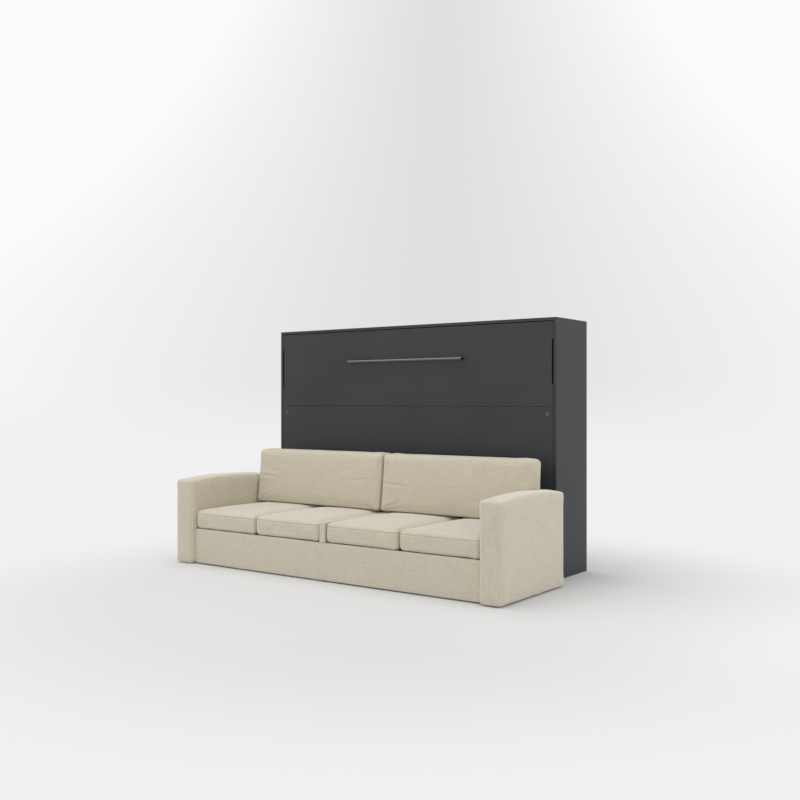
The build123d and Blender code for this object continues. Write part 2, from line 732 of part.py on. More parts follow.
with BuildPart() as seat_deck:
    block((-board_out, board_out), (front_rail_back_y, rear_board_front_y), (deck_bottom, seat_deck_top))
save(seat_deck, "seat_deck")

divider_back_y = rear_board_front_y - divider_back_inset
with BuildPart() as centre_divider:
    divider_y = (seat_front_y - divider_proud, divider_back_y)
    block((-divider_width / 2, divider_width / 2), divider_y, (seat_deck_top, seat_deck_top + divider_rise))
    top_edges = centre_divider.faces().sort_by(Axis.Z)[-1].edges()
    front_edges = centre_divider.edges().filter_by(Axis.Z).group_by(Axis.Y)[0]
    fillet(top_edges + front_edges, divider_edge)
save(centre_divider, "centre_divider")

glide_inset = 2 * arm_cover_wall + glide_radius
arm_mid_x = (arm_in + arm_out) / 2
glide_y_places = (sofa_front_y + glide_inset, arm_back_y - glide_inset)
with BuildPart() as sofa_glides:
    with BuildSketch():
        for glide_y in glide_y_places:
            with Locations((-arm_mid_x, glide_y), (0, glide_y), (arm_mid_x, glide_y)):
                Circle(glide_radius)
    extrude(amount=glide_height)
save(sofa_glides, "sofa_glides")

with BuildPart() as joining_brackets:
    for side_name, side in sides:
        web_x = side * bracket_offset
        web_half = bracket_thickness / 2
        bracket_z = (bracket_bottom, bracket_bottom + bracket_height)
        block((web_x - web_half, web_x + web_half), (rear_board_back_y, plinth_y), bracket_z)
        flange_x = (web_x - side * web_half, web_x - side * (web_half - bracket_flange))
        block(flange_x, (rear_board_back_y, rear_board_back_y + bracket_thickness), bracket_z)
        block(flange_x, (plinth_y - bracket_thickness, plinth_y), bracket_z)
save(joining_brackets, "joining_brackets")


def seat_section(x, draw, crown):
    """One upright section of a seat cushion, drawn in by draw and crowned by crown."""
    low = seat_deck_top + soft_gap
    front = seat_front_y + draw
    back = rear_board_front_y - seat_rear_gap - draw
    top = seat_deck_top + seat_edge_rise - draw
    turn = seat_top_corner
    foot = seat_bottom_corner
    turn_mid = turn * (1 - cos(radians(45)))
    foot_mid = foot * (1 - sin(radians(45)))
    with BuildSketch(Plane.YZ.offset(x)) as section:
        with BuildLine():
            Line((front, low + foot), (front, top - turn))
            ThreePointArc((front, top - turn), (front + turn_mid, top - turn_mid), (front + turn, top))
            ThreePointArc((front + turn, top), ((front + back) / 2, top + crown), (back - turn, top))
            ThreePointArc((back - turn, top), (back - turn_mid, top - turn_mid), (back, top - turn))
            Line((back, top - turn), (back, low + foot))
            ThreePointArc((back, low + foot), (back - foot_mid, low + foot_mid), (back - foot, low))
            Line((back - foot, low), (front + foot, low))
            ThreePointArc((front + foot, low), (front + foot_mid, low + foot_mid), (front, low + foot))
        make_face()
    return section.sketch.face()


def back_section(x, draw, crown):
    """One upright section of a back cushion: a wedge with a full front and a crowned top."""
    low = seat_deck_top + back_cushion_rise
    high = low + back_cushion_height - draw
    rear = front_y - back_cushion_rear_gap - draw
    foot_front = front_y - back_cushion_rear_gap - back_cushion_foot_depth + draw
    head_front = foot_front + back_cushion_lean
    belly = (foot_front + head_front) / 2 - back_cushion_bulge * crown
    points = [
        (foot_front, low),
        (belly, (low + high) / 2),
        (head_front, high),
        ((head_front + rear) / 2, high + back_cushion_crown * crown),
        (rear, high),
        (rear, low),
    ]
    corner = back_cushion_corner
    radii = [corner, back_cushion_bulge_radius, corner, back_cushion_crown_radius, corner, corner]
    with BuildSketch(Plane.YZ.offset(x)) as section:
        with BuildLine():
            FilletPolyline(*points, radius=radii, close=True)
        make_face()
    return section.sketch.face()


# Seat cushions
seat_outer_edge = arm_in - seat_outer_gap
seat_width = (seat_outer_edge - seat_inner_edge - seat_joint_gap) / 2
seat_starts = (
    ("seat_cushion_far_left", -seat_outer_edge),
    ("seat_cushion_left", -seat_inner_edge - seat_width),
    ("seat_cushion_right", seat_inner_edge),
    ("seat_cushion_far_right", seat_outer_edge - seat_width),
)
for cushion_name, start in seat_starts:
    seat_sections = [
        seat_section(start + place * seat_width, draw * seat_draw, crown * seat_crown)
        for place, draw, crown in zip(cushion_place_shares, cushion_draw_shares, cushion_crown_shares)
    ]
    with BuildPart() as seat_cushion:
        loft(sections=seat_sections)
    save(seat_cushion, cushion_name)

# Back cushions
back_width = arm_in - back_cushion_end_gap - back_cushion_gap / 2
back_starts = (
    ("back_cushion_left", -back_cushion_gap / 2 - back_width),
    ("back_cushion_right", back_cushion_gap / 2),
)
for cushion_name, start in back_starts:
    back_sections = [
        back_section(start + place * back_width, draw * back_cushion_draw, crown)
        for place, draw, crown in zip(cushion_place_shares, cushion_draw_shares, cushion_crown_shares)
    ]
    with BuildPart() as back_cushion:
        loft(sections=back_sections)
    save(back_cushion, cushion_name)
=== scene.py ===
import math

import bmesh
import bpy
import numpy as np
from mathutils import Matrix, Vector, noise


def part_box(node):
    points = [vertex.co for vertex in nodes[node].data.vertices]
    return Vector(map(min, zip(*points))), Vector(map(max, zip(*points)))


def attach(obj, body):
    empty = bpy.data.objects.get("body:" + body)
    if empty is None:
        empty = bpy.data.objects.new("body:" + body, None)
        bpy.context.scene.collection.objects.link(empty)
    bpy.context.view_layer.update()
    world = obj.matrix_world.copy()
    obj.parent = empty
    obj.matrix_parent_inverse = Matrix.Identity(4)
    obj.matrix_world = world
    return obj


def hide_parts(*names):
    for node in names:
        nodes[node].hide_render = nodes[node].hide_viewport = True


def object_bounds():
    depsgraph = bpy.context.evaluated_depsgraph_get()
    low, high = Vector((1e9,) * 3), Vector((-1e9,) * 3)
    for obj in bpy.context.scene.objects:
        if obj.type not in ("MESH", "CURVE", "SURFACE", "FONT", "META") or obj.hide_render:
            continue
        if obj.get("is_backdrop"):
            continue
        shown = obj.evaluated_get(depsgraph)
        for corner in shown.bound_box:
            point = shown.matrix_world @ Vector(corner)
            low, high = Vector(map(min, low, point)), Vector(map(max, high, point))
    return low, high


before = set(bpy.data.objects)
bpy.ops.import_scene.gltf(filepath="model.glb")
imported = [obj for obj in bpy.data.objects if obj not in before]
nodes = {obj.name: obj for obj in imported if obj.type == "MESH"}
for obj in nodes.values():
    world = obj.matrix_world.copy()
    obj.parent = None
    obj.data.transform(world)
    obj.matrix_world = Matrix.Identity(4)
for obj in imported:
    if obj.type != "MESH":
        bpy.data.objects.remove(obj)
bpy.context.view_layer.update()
HANDLE_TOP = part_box("pull_handle")[1].z
# The axes of the two panel bolts lie at this X on both sides, and at this height.
BOLT_X, BOLT_Z = 1.0275, 0.968


# ---------------------------------------------------------------- materials


def linear(hex_colour):
    """An sRGB hex colour as linear red, green, blue and alpha."""
    channels = [int(hex_colour[i : i + 2], 16) / 255 for i in (1, 3, 5)]
    return [c / 12.92 if c <= 0.04045 else ((c + 0.055) / 1.055) ** 2.4 for c in channels] + [1.0]


def start_material(name, colour, roughness, **sockets):
    """A new material with its shader; the sockets' constants are set on the shader itself."""
    material = bpy.data.materials.new(name)
    material.use_nodes = True
    shader = material.node_tree.nodes["Principled BSDF"]
    shader.inputs["Base Color"].default_value = linear(colour)
    shader.inputs["Roughness"].default_value = roughness
    for socket, value in sockets.items():
        shader.inputs[socket.replace("_", " ")].default_value = value
    return material, shader


def add(material, kind, inputs=None, stops=(), **settings):
    """Add one shader node: inputs are values or other nodes' outputs, and a ramp's stops (place, sRGB hex) pairs."""
    made = material.node_tree.nodes.new("ShaderNode" + kind)
    for name, value in settings.items():
        setattr(made, name, value)
    for socket, source in (inputs or {}).items():
        if isinstance(source, bpy.types.NodeSocket):
            material.node_tree.links.new(source, made.inputs[socket])
        else:
            made.inputs[socket].default_value = source
    if stops:
        elements = made.color_ramp.elements
        while len(elements) < len(stops):
            elements.new(0.5)
        for element, (place, colour) in zip(elements, stops):
            element.position = place
            element.color = linear(colour)
    return made


def join(material, shader, **links):
    """Link outputs into the shader's sockets."""
    for socket, source in links.items():
        material.node_tree.links.new(source, shader.inputs[socket.replace("_", " ")])


def upholstery_linen():
    """Woven linen-blend upholstery: uneven yarns show as short pale and dark slubs along and across."""
    material, shader = start_material(
        "woven_linen_upholstery", "#C4BCA9", 0.92,
        Specular_IOR_Level=0.25, Sheen_Weight=0.65, Sheen_Roughness=0.5, Sheen_Tint=linear("#FFFDFC"),
    )
    place = add(material, "TexCoord")
    facing = add(material, "SeparateXYZ", {"Vector": place.outputs["Normal"]})
    sideways = add(material, "Math", {0: facing.outputs["X"]}, operation="ABSOLUTE")
    is_side = add(material, "Math", {0: sideways.outputs[0], 1: 0.72}, operation="GREATER_THAN")
    point = add(material, "SeparateXYZ", {"Vector": place.outputs["Object"]})
    # On faces that look sideways the cloth runs along Y, so X and Y change places there.
    turned = add(
        material, "CombineXYZ",
        {"X": point.outputs["Y"], "Y": point.outputs["X"], "Z": point.outputs["Z"]},
    )
    cloth = add(
        material, "Mix",
        {"Factor": is_side.outputs[0], 4: place.outputs["Object"], 5: turned.outputs[0]},
        data_type="VECTOR",
    ).outputs[1]
    # Weft slubs are about 55 mm long and 4 mm thick, drawn coarser than real ones, so that they show.
    weft_place = add(material, "Mapping", {"Vector": cloth, "Scale": (18.0, 230.0, 230.0)})
    weft = add(material, "TexNoise", {"Vector": weft_place.outputs[0], "Scale": 1.0, "Detail": 3.0})
    # Warp slubs are shorter, about 40 mm by 4 mm.
    warp_place = add(material, "Mapping", {"Vector": cloth, "Scale": (230.0, 26.0, 26.0)})
    warp = add(material, "TexNoise", {"Vector": warp_place.outputs[0], "Scale": 1.0, "Detail": 2.0})
    slubs = add(
        material, "Mix", {"Factor": 0.36, 2: weft.outputs["Fac"], 3: warp.outputs["Fac"]}, data_type="FLOAT"
    ).outputs[0]
    # The dye lies a little unevenly, in soft patches about 110 mm wide.
    patches = add(material, "TexNoise", {"Vector": cloth, "Scale": 9.0, "Detail": 2.0})
    tone = add(
        material, "Mix", {"Factor": 0.1, 2: slubs, 3: patches.outputs["Fac"]}, data_type="FLOAT"
    ).outputs[0]
    colour = add(
        material, "ValToRGB", {"Fac": tone}, stops=[(0.32, "#BDB5A1"), (0.5, "#C7BFAB"), (0.68, "#D0C9B6")]
    ).outputs["Color"]
    # The plain weave itself: threads 2 mm apart, drawn twice as coarse as real ones.
    across = add(
        material, "TexWave", {"Vector": cloth, "Scale": 157.0, "Distortion": 0.6, "Detail": 1.0},
        bands_direction="X",
    )
    along = add(
        material, "TexWave", {"Vector": cloth, "Scale": 157.0, "Distortion": 0.6, "Detail": 1.0},
        bands_direction="Z",
    )
    weave = add(
        material, "Math", {0: across.outputs["Fac"], 1: along.outputs["Fac"]}, operation="MULTIPLY"
    ).outputs[0]
    relief = add(material, "Math", {0: slubs, 1: 2.2, 2: weave}, operation="MULTIPLY_ADD").outputs[0]
    bump = add(material, "Bump", {"Height": relief, "Strength": 0.35, "Distance": 0.0007})
    join(material, shader, Base_Color=colour, Normal=bump.outputs["Normal"])
    return material


def anthracite_melamine():
    """Melamine-faced chipboard, pressed with a fine pearl grain that breaks the gloss up evenly."""
    material, shader = start_material("anthracite_melamine_board", "#333436", 0.5, Specular_IOR_Level=0.3)
    place = add(material, "TexCoord").outputs["Object"]
    # The pearl grain is about 0.8 mm.
    grain = add(material, "TexNoise", {"Vector": place, "Scale": 1200.0, "Detail": 2.0})
    # The tone drifts over about 330 mm.
    cloud = add(material, "TexNoise", {"Vector": place, "Scale": 3.0, "Detail": 3.0})
    colour = add(
        material, "ValToRGB", {"Fac": cloud.outputs["Fac"]}, stops=[(0.3, "#323437"), (0.7, "#36383B")]
    ).outputs["Color"]
    gloss = add(
        material, "MapRange",
        {"Value": grain.outputs["Fac"], "From Min": 0.3, "From Max": 0.7, "To Min": 0.44, "To Max": 0.58},
    )
    bump = add(material, "Bump", {"Height": grain.outputs["Fac"], "Strength": 0.12, "Distance": 0.0002})
    join(material, shader, Base_Color=colour, Roughness=gloss.outputs[0], Normal=bump.outputs["Normal"])
    return material


def brushed_nickel():
    """Bar handle, zinc alloy with brushed nickel plating; the brush ran along the bar. A painted highlight runs along
    its top.
    """
    material, shader = start_material("brushed_nickel_plate", "#8A8079", 0.3, Metallic=1.0)
    place = add(material, "TexCoord").outputs["Object"]
    # Brush lines are about 0.25 mm apart and 120 mm long.
    lines = add(material, "Mapping", {"Vector": place, "Scale": (8.0, 3800.0, 3800.0)})
    brushing = add(material, "TexNoise", {"Vector": lines.outputs[0], "Scale": 1.0, "Detail": 3.0})
    face = add(
        material, "ValToRGB", {"Fac": brushing.outputs["Fac"]}, stops=[(0.3, "#5D534C"), (0.7, "#6B6059")]
    ).outputs["Color"]
    # The lighter colour of the painted highlight on the bar's top.
    top_highlight = add(
        material, "ValToRGB", {"Fac": brushing.outputs["Fac"]}, stops=[(0.3, "#9E9893"), (0.7, "#ACA7A2")]
    ).outputs["Color"]
    # A painted highlight along the bar's top, where its rounded edge catches the light: full down to 2.5 mm and gone
    # below 4.5 mm.
    point = add(material, "SeparateXYZ", {"Vector": place})
    highlight_band = add(
        material, "MapRange",
        {"Value": point.outputs["Z"], "From Min": HANDLE_TOP - 0.0045, "From Max": HANDLE_TOP - 0.0025},
    )
    colour = add(
        material, "Mix", {"Factor": highlight_band.outputs[0], 6: face, 7: top_highlight}, data_type="RGBA"
    ).outputs[2]
    gloss = add(
        material, "MapRange",
        {"Value": brushing.outputs["Fac"], "From Min": 0.3, "From Max": 0.7, "To Min": 0.27, "To Max": 0.42},
    )
    bump = add(material, "Bump", {"Height": brushing.outputs["Fac"], "Strength": 0.15, "Distance": 0.0001})
    join(material, shader, Base_Color=colour, Roughness=gloss.outputs[0], Normal=bump.outputs["Normal"])
    return material


def zinc_plated_steel():
    """Pressed steel fittings with a thin bright zinc coat, slightly clouded."""
    material, shader = start_material("zinc_plated_steel", "#B2B6B8", 0.38, Metallic=1.0)
    place = add(material, "TexCoord").outputs["Object"]
    # The coat's clouds are about 5 mm across.
    cloud = add(material, "TexNoise", {"Vector": place, "Scale": 190.0, "Detail": 4.0})
    colour = add(
        material, "ValToRGB", {"Fac": cloud.outputs["Fac"]}, stops=[(0.3, "#A3A7AA"), (0.7, "#BEC2C4")]
    ).outputs["Color"]
    gloss = add(
        material, "MapRange",
        {"Value": cloud.outputs["Fac"], "From Min": 0.3, "From Max": 0.7, "To Min": 0.3, "To Max": 0.48},
    )
    join(material, shader, Base_Color=colour, Roughness=gloss.outputs[0])
    return material


def blackened_bolt():
    """Bolt heads of steel with a dark phosphate finish, and painted shade in each socket."""
    material, shader = start_material("black_phosphated_steel", "#6A6A6B", 0.4, Metallic=0.8)
    place = add(material, "TexCoord").outputs["Object"]
    # The flecks are about 1 mm.
    fleck = add(material, "TexNoise", {"Vector": place, "Scale": 900.0, "Detail": 3.0})
    rim = add(
        material, "ValToRGB", {"Fac": fleck.outputs["Fac"]}, stops=[(0.35, "#5A5A5B"), (0.65, "#707071")]
    ).outputs["Color"]
    # The socket in the middle of each head, 9 mm wide, is painted near-black as the shade inside its recess; the rim
    # around it keeps the head's flecked colour.
    point = add(material, "SeparateXYZ", {"Vector": place})
    aside = add(material, "Math", {0: point.outputs["X"]}, operation="ABSOLUTE")
    on_face = add(material, "CombineXYZ", {"X": aside.outputs[0], "Z": point.outputs["Z"]})
    from_axis = add(
        material, "VectorMath", {0: on_face.outputs[0], 1: (BOLT_X, 0.0, BOLT_Z)}, operation="DISTANCE"
    )
    is_rim = add(
        material, "MapRange", {"Value": from_axis.outputs["Value"], "From Min": 0.0038, "From Max": 0.0052}
    )
    # Inside the socket the colour is painted shade.
    colour = add(
        material, "Mix", {"Factor": is_rim.outputs[0], 6: linear("#1B1B1C"), 7: rim}, data_type="RGBA"
    ).outputs[2]
    bump = add(material, "Bump", {"Height": fleck.outputs["Fac"], "Strength": 0.2, "Distance": 0.0001})
    join(material, shader, Base_Color=colour, Normal=bump.outputs["Normal"])
    return material


def powder_coated_steel():
    """Steel tube under baked black powder coat, with its slight orange peel."""
    material, shader = start_material("black_powder_coated_steel", "#2A2B2D", 0.46)
    place = add(material, "TexCoord").outputs["Object"]
    # Orange peel waves are about 1.5 mm.
    peel = add(material, "TexNoise", {"Vector": place, "Scale": 640.0, "Detail": 2.0})
    colour = add(
        material, "ValToRGB", {"Fac": peel.outputs["Fac"]}, stops=[(0.3, "#262729"), (0.7, "#2E2F31")]
    ).outputs["Color"]
    gloss = add(
        material, "MapRange",
        {"Value": peel.outputs["Fac"], "From Min": 0.3, "From Max": 0.7, "To Min": 0.4, "To Max": 0.52},
    )
    bump = add(material, "Bump", {"Height": peel.outputs["Fac"], "Strength": 0.25, "Distance": 0.0002})
    join(material, shader, Base_Color=colour, Roughness=gloss.outputs[0], Normal=bump.outputs["Normal"])
    return material


def moulded_polypropylene():
    """Moulded black polypropylene with a fine spark-eroded grain."""
    material, shader = start_material("moulded_black_polypropylene", "#1D1D1E", 0.55)
    place = add(material, "TexCoord").outputs["Object"]
    # The mould's grain is about 0.5 mm.
    grain = add(material, "TexVoronoi", {"Vector": place, "Scale": 2000.0})
    colour = add(
        material, "ValToRGB", {"Fac": grain.outputs["Distance"]}, stops=[(0.1, "#19191A"), (0.8, "#222223")]
    ).outputs["Color"]
    bump = add(material, "Bump", {"Height": grain.outputs["Distance"], "Strength": 0.2, "Distance": 0.0001})
    join(material, shader, Base_Color=colour, Normal=bump.outputs["Normal"])
    return material


def chromed_rod():
    """Hard-chromed, ground spring rod: bright, with faint grinding lines round it."""
    material, shader = start_material("hard_chromed_steel", "#D5D7D9", 0.14, Metallic=1.0)
    place = add(material, "TexCoord").outputs["Object"]
    # Grinding lines lie round the rod, about 0.2 mm apart.
    rings = add(material, "Mapping", {"Vector": place, "Scale": (40.0, 900.0, 4500.0)})
    grinding = add(material, "TexNoise", {"Vector": rings.outputs[0], "Scale": 1.0, "Detail": 2.0})
    gloss = add(
        material, "MapRange",
        {"Value": grinding.outputs["Fac"], "From Min": 0.3, "From Max": 0.7, "To Min": 0.1, "To Max": 0.2},
    )
    colour = add(
        material, "ValToRGB", {"Fac": grinding.outputs["Fac"]}, stops=[(0.3, "#CDCFD1"), (0.7, "#DBDDDF")]
    ).outputs["Color"]
    join(material, shader, Base_Color=colour, Roughness=gloss.outputs[0])
    return material


def stop_rubber():
    """Moulded rubber buffers with a dusty bloom."""
    material, shader = start_material("moulded_rubber", "#232323", 0.8)
    place = add(material, "TexCoord").outputs["Object"]
    # The bloom's patches are about 4 mm.
    bloom = add(material, "TexNoise", {"Vector": place, "Scale": 240.0, "Detail": 4.0})
    colour = add(
        material, "ValToRGB", {"Fac": bloom.outputs["Fac"]}, stops=[(0.35, "#1F1F1F"), (0.7, "#2C2C2C")]
    ).outputs["Color"]
    bump = add(material, "Bump", {"Height": bloom.outputs["Fac"], "Strength": 0.2, "Distance": 0.0002})
    join(material, shader, Base_Color=colour, Normal=bump.outputs["Normal"])
    return material


def beech_slats():
    """Steam-bent laminated beech, sanded and lacquered: straight grain along the slat with short dark rays."""
    material, shader = start_material("lacquered_beech", "#C69E70", 0.42, Coat_Weight=0.25, Coat_Roughness=0.3)
    place = add(material, "TexCoord").outputs["Object"]
    # Growth lines are about 4 mm apart and run the length of the slat.
    grain_place = add(material, "Mapping", {"Vector": place, "Scale": (240.0, 240.0, 2.5)})
    grain = add(material, "TexNoise", {"Vector": grain_place.outputs[0], "Scale": 1.0, "Detail": 5.0})
    # Rays are dark flecks about 0.7 mm by 8 mm.
    ray_place = add(material, "Mapping", {"Vector": place, "Scale": (1400.0, 1400.0, 125.0)})
    rays = add(material, "TexNoise", {"Vector": ray_place.outputs[0], "Scale": 1.0, "Detail": 1.0})
    wood = add(
        material, "ValToRGB", {"Fac": grain.outputs["Fac"]},
        stops=[(0.3, "#B58A5C"), (0.5, "#C89F70"), (0.72, "#D6B186")],
    ).outputs["Color"]
    flecks = add(
        material, "ValToRGB", {"Fac": rays.outputs["Fac"]}, stops=[(0.56, "#FFFFFF"), (0.66, "#C4A684")]
    ).outputs["Color"]
    colour = add(
        material, "Mix", {"Factor": 1.0, 6: wood, 7: flecks}, data_type="RGBA", blend_type="MULTIPLY"
    ).outputs[2]
    bump = add(material, "Bump", {"Height": grain.outputs["Fac"], "Strength": 0.15, "Distance": 0.0003})
    join(material, shader, Base_Color=colour, Normal=bump.outputs["Normal"])
    return material


def raw_chipboard():
    """Unfaced furniture chipboard, sanded: pressed flakes of several tones."""
    material, shader = start_material("raw_chipboard", "#BE9F74", 0.85, Specular_IOR_Level=0.3)
    place = add(material, "TexCoord").outputs["Object"]
    # Flakes are about 3 by 6 mm in the face.
    flake_place = add(material, "Mapping", {"Vector": place, "Scale": (170.0, 320.0, 320.0)})
    flakes = add(material, "TexVoronoi", {"Vector": flake_place.outputs[0], "Scale": 1.0, "Randomness": 1.0})
    tone = add(material, "SeparateColor", {"Color": flakes.outputs["Color"]})
    colour = add(
        material, "ValToRGB", {"Fac": tone.outputs[0]},
        stops=[(0.0, "#A98557"), (0.35, "#BC9B6E"), (0.7, "#CBAD82"), (1.0, "#D8BF98")],
    ).outputs["Color"]
    bump = add(material, "Bump", {"Height": tone.outputs[1], "Strength": 0.25, "Distance": 0.0002})
    join(material, shader, Base_Color=colour, Normal=bump.outputs["Normal"])
    return material


def mattress_ticking():
    """Knitted polyester ticking, soft and matt, with rows of loops."""
    material, shader = start_material(
        "knitted_mattress_ticking", "#DEDBD2", 0.9,
        Sheen_Weight=0.2, Sheen_Roughness=0.5, Specular_IOR_Level=0.25,
    )
    place = add(material, "TexCoord").outputs["Object"]
    # The rows of loops are 3 mm apart, drawn twice as coarse as real ones.
    rows = add(
        material, "TexWave", {"Vector": place, "Scale": 105.0, "Distortion": 1.5, "Detail": 2.0, "Detail Scale": 3.0},
        bands_direction="X",
    )
    loops = add(
        material, "TexWave", {"Vector": place, "Scale": 105.0, "Distortion": 1.5, "Detail": 2.0, "Detail Scale": 3.0},
        bands_direction="Z",
    )
    knit = add(material, "Math", {0: rows.outputs["Fac"], 1: loops.outputs["Fac"]}, operation="MULTIPLY")
    # Soft patches are about 70 mm wide.
    patches = add(material, "TexNoise", {"Vector": place, "Scale": 14.0, "Detail": 3.0})
    tone = add(
        material, "Mix", {"Factor": 0.4, 2: patches.outputs["Fac"], 3: knit.outputs[0]}, data_type="FLOAT"
    ).outputs[0]
    colour = add(material, "ValToRGB", {"Fac": tone}, stops=[(0.2, "#D2CFC5"), (0.7, "#E6E4DC")]).outputs["Color"]
    bump = add(material, "Bump", {"Height": knit.outputs[0], "Strength": 0.3, "Distance": 0.0006})
    join(material, shader, Base_Color=colour, Normal=bump.outputs["Normal"])
    return material


def piping_tape():
    """Woven polyester binding tape on the mattress seams, a shade darker than the ticking."""
    material, shader = start_material("woven_binding_tape", "#B9B6AC", 0.8)
    place = add(material, "TexCoord").outputs["Object"]
    # Ribs of the tape are 1.5 mm apart.
    ribs = add(material, "TexWave", {"Vector": place, "Scale": 210.0, "Distortion": 0.4}, bands_direction="DIAGONAL")
    colour = add(
        material, "ValToRGB", {"Fac": ribs.outputs["Fac"]}, stops=[(0.0, "#A7A49A"), (1.0, "#C2BFB5")]
    ).outputs["Color"]
    bump = add(material, "Bump", {"Height": ribs.outputs["Fac"], "Strength": 0.4, "Distance": 0.0004})
    join(material, shader, Base_Color=colour, Normal=bump.outputs["Normal"])
    return material


def webbing():
    """Woven black polyester webbing: cross ribs with a slight shine."""
    material, shader = start_material("woven_polyester_webbing", "#202022", 0.6, Sheen_Weight=0.3)
    place = add(material, "TexCoord").outputs["Object"]
    # Ribs are 2 mm apart across the strap, and its threads 1 mm.
    ribs = add(material, "TexWave", {"Vector": place, "Scale": 157.0, "Distortion": 0.2}, bands_direction="Z")
    threads = add(material, "TexWave", {"Vector": place, "Scale": 314.0, "Distortion": 0.2}, bands_direction="X")
    weave = add(material, "Math", {0: ribs.outputs["Fac"], 1: threads.outputs["Fac"]}, operation="MULTIPLY")
    colour = add(
        material, "ValToRGB", {"Fac": weave.outputs[0]}, stops=[(0.0, "#141415"), (1.0, "#303033")]
    ).outputs["Color"]
    bump = add(material, "Bump", {"Height": weave.outputs[0], "Strength": 0.5, "Distance": 0.0006})
    join(material, shader, Base_Color=colour, Normal=bump.outputs["Normal"])
    return material


def deck_lining():
    """Black spunbonded lining over the sofa's deck and back: matt, with a pattern of fine pressed dots."""
    material, shader = start_material("spunbonded_lining", "#2B2926", 0.95)
    place = add(material, "TexCoord").outputs["Object"]
    # The pressed dots are 2 mm apart.
    dots = add(material, "TexVoronoi", {"Vector": place, "Scale": 500.0, "Randomness": 0.1})
    colour = add(
        material, "ValToRGB", {"Fac": dots.outputs["Distance"]}, stops=[(0.2, "#232120"), (0.6, "#312F2C")]
    ).outputs["Color"]
    bump = add(material, "Bump", {"Height": dots.outputs["Distance"], "Strength": 0.3, "Distance": 0.0002})
    join(material, shader, Base_Color=colour, Normal=bump.outputs["Normal"])
    return material


linen = upholstery_linen()
ticking = mattress_ticking()
tape = piping_tape()
strap_cloth = webbing()
finishes = {
    "melamine": anthracite_melamine(),
    "handle_metal": brushed_nickel(),
    "zinc_fittings": zinc_plated_steel(),
    "bolt_caps": blackened_bolt(),
    "frame_paint": powder_coated_steel(),
    "black_plastic": moulded_polypropylene(),
    "rod_chrome": chromed_rod(),
    "stop_rubber": stop_rubber(),
    "beech": beech_slats(),
    "raw_board": raw_chipboard(),
    "mattress_fabric": ticking,
    "strap_webbing": strap_cloth,
    "linen": linen,
}
for node in nodes.values():
    for slot in node.material_slots:
        slot.material = finishes[slot.material.name.split(".")[0]]
# The sofa's deck and back are board under a stapled lining, so the lining is what shows there.
lining = deck_lining()
for name in ("seat_deck", "sofa_rear_board", "sofa_end_board_left", "sofa_end_board_right"):
    for slot in nodes[name].material_slots:
        slot.material = lining


# ---------------------------------------------------------------- modelling helpers

# Every cushion swells over this many frames of cloth simulation.
CLOTH_FRAMES = 20


def add_block(name, low, high):
    """Start a piece from a cube that fills the space between two corners."""
    low, high = Vector(low), Vector(high)
    bpy.ops.object.select_all(action="DESELECT")
    bpy.ops.mesh.primitive_cube_add(size=1.0, location=(low + high) / 2, scale=high - low)
    piece = bpy.context.object
    piece.name = piece.data.name = name
    bpy.ops.object.transform_apply(location=True, rotation=True, scale=True)
    return piece


def make_active(piece):
    """Select one piece alone."""
    bpy.ops.object.select_all(action="DESELECT")
    piece.select_set(True)
    bpy.context.view_layer.objects.active = piece


def apply_modifier(piece, kind, **settings):
    """Give a piece a modifier and apply it."""
    make_active(piece)
    modifier = piece.modifiers.new(kind.title(), kind)
    for name, value in settings.items():
        setattr(modifier, name, value)
    bpy.ops.object.modifier_apply(modifier=modifier.name)


def bevel(piece, width, segments):
    """Round every edge that turns by more than 50 degrees."""
    apply_modifier(
        piece, "BEVEL", width=width, segments=segments, limit_method="ANGLE", angle_limit=math.radians(50)
    )


def remesh(piece, size):
    """Rebuild a closed piece as an even mesh."""
    apply_modifier(piece, "REMESH", mode="VOXEL", voxel_size=size)


def refine(piece):
    """Divide every face in four and smooth the piece."""
    apply_modifier(piece, "SUBSURF", levels=1, render_levels=1)


def round_edges(piece, width, where):
    """Bevel the sharp edges whose middle the rule picks."""
    make_active(piece)
    bpy.ops.object.mode_set(mode="EDIT")
    bpy.ops.mesh.select_mode(type="EDGE")
    bpy.ops.mesh.select_all(action="DESELECT")
    mesh = bmesh.from_edit_mesh(piece.data)
    for edge in mesh.edges:
        middle = (edge.verts[0].co + edge.verts[1].co) / 2
        edge.select = bool(edge.calc_face_angle(0.0) > 0.8 and where(middle))
    bmesh.update_edit_mesh(piece.data)
    bpy.ops.mesh.bevel(offset=width, segments=6, clamp_overlap=True)
    bpy.ops.object.mode_set(mode="OBJECT")


def subdivide(piece, cuts):
    """Divide every face of a piece in edit mode."""
    make_active(piece)
    bpy.ops.object.mode_set(mode="EDIT")
    bpy.ops.mesh.select_all(action="SELECT")
    bpy.ops.mesh.subdivide(number_cuts=cuts)
    bpy.ops.object.mode_set(mode="OBJECT")


def points_of(piece):
    """A piece's points as an array."""
    points = np.empty(len(piece.data.vertices) * 3)
    piece.data.vertices.foreach_get("co", points)
    return points.reshape(-1, 3)


def normals_of(piece):
    """A piece's point normals as an array."""
    normals = np.empty(len(piece.data.vertices) * 3)
    piece.data.vertices.foreach_get("normal", normals)
    return normals.reshape(-1, 3)


def set_points(piece, points):
    """Write a piece's points back."""
    piece.data.vertices.foreach_set("co", points.ravel())
    piece.data.update()


def bell(distance, width):
    """A smooth bump that is 1 at distance 0 and has faded at twice its width."""
    return np.exp(-((distance / width) ** 2))


def fit(piece, low, high, front):
    """Stretch a swollen piece until it reaches from low to high; its width is that of its front part."""
    points = points_of(piece)
    points[:, 2] = np.maximum(points[:, 2], low.z)
    least, most = points.min(axis=0), points.max(axis=0)
    part = points[points[:, 1] < least[1] + front]
    least[0], most[0] = part[:, 0].min(), part[:, 0].max()
    low, high = np.array(low), np.array(high)
    set_points(piece, low + (points - least) * (high - low) / (most - least))


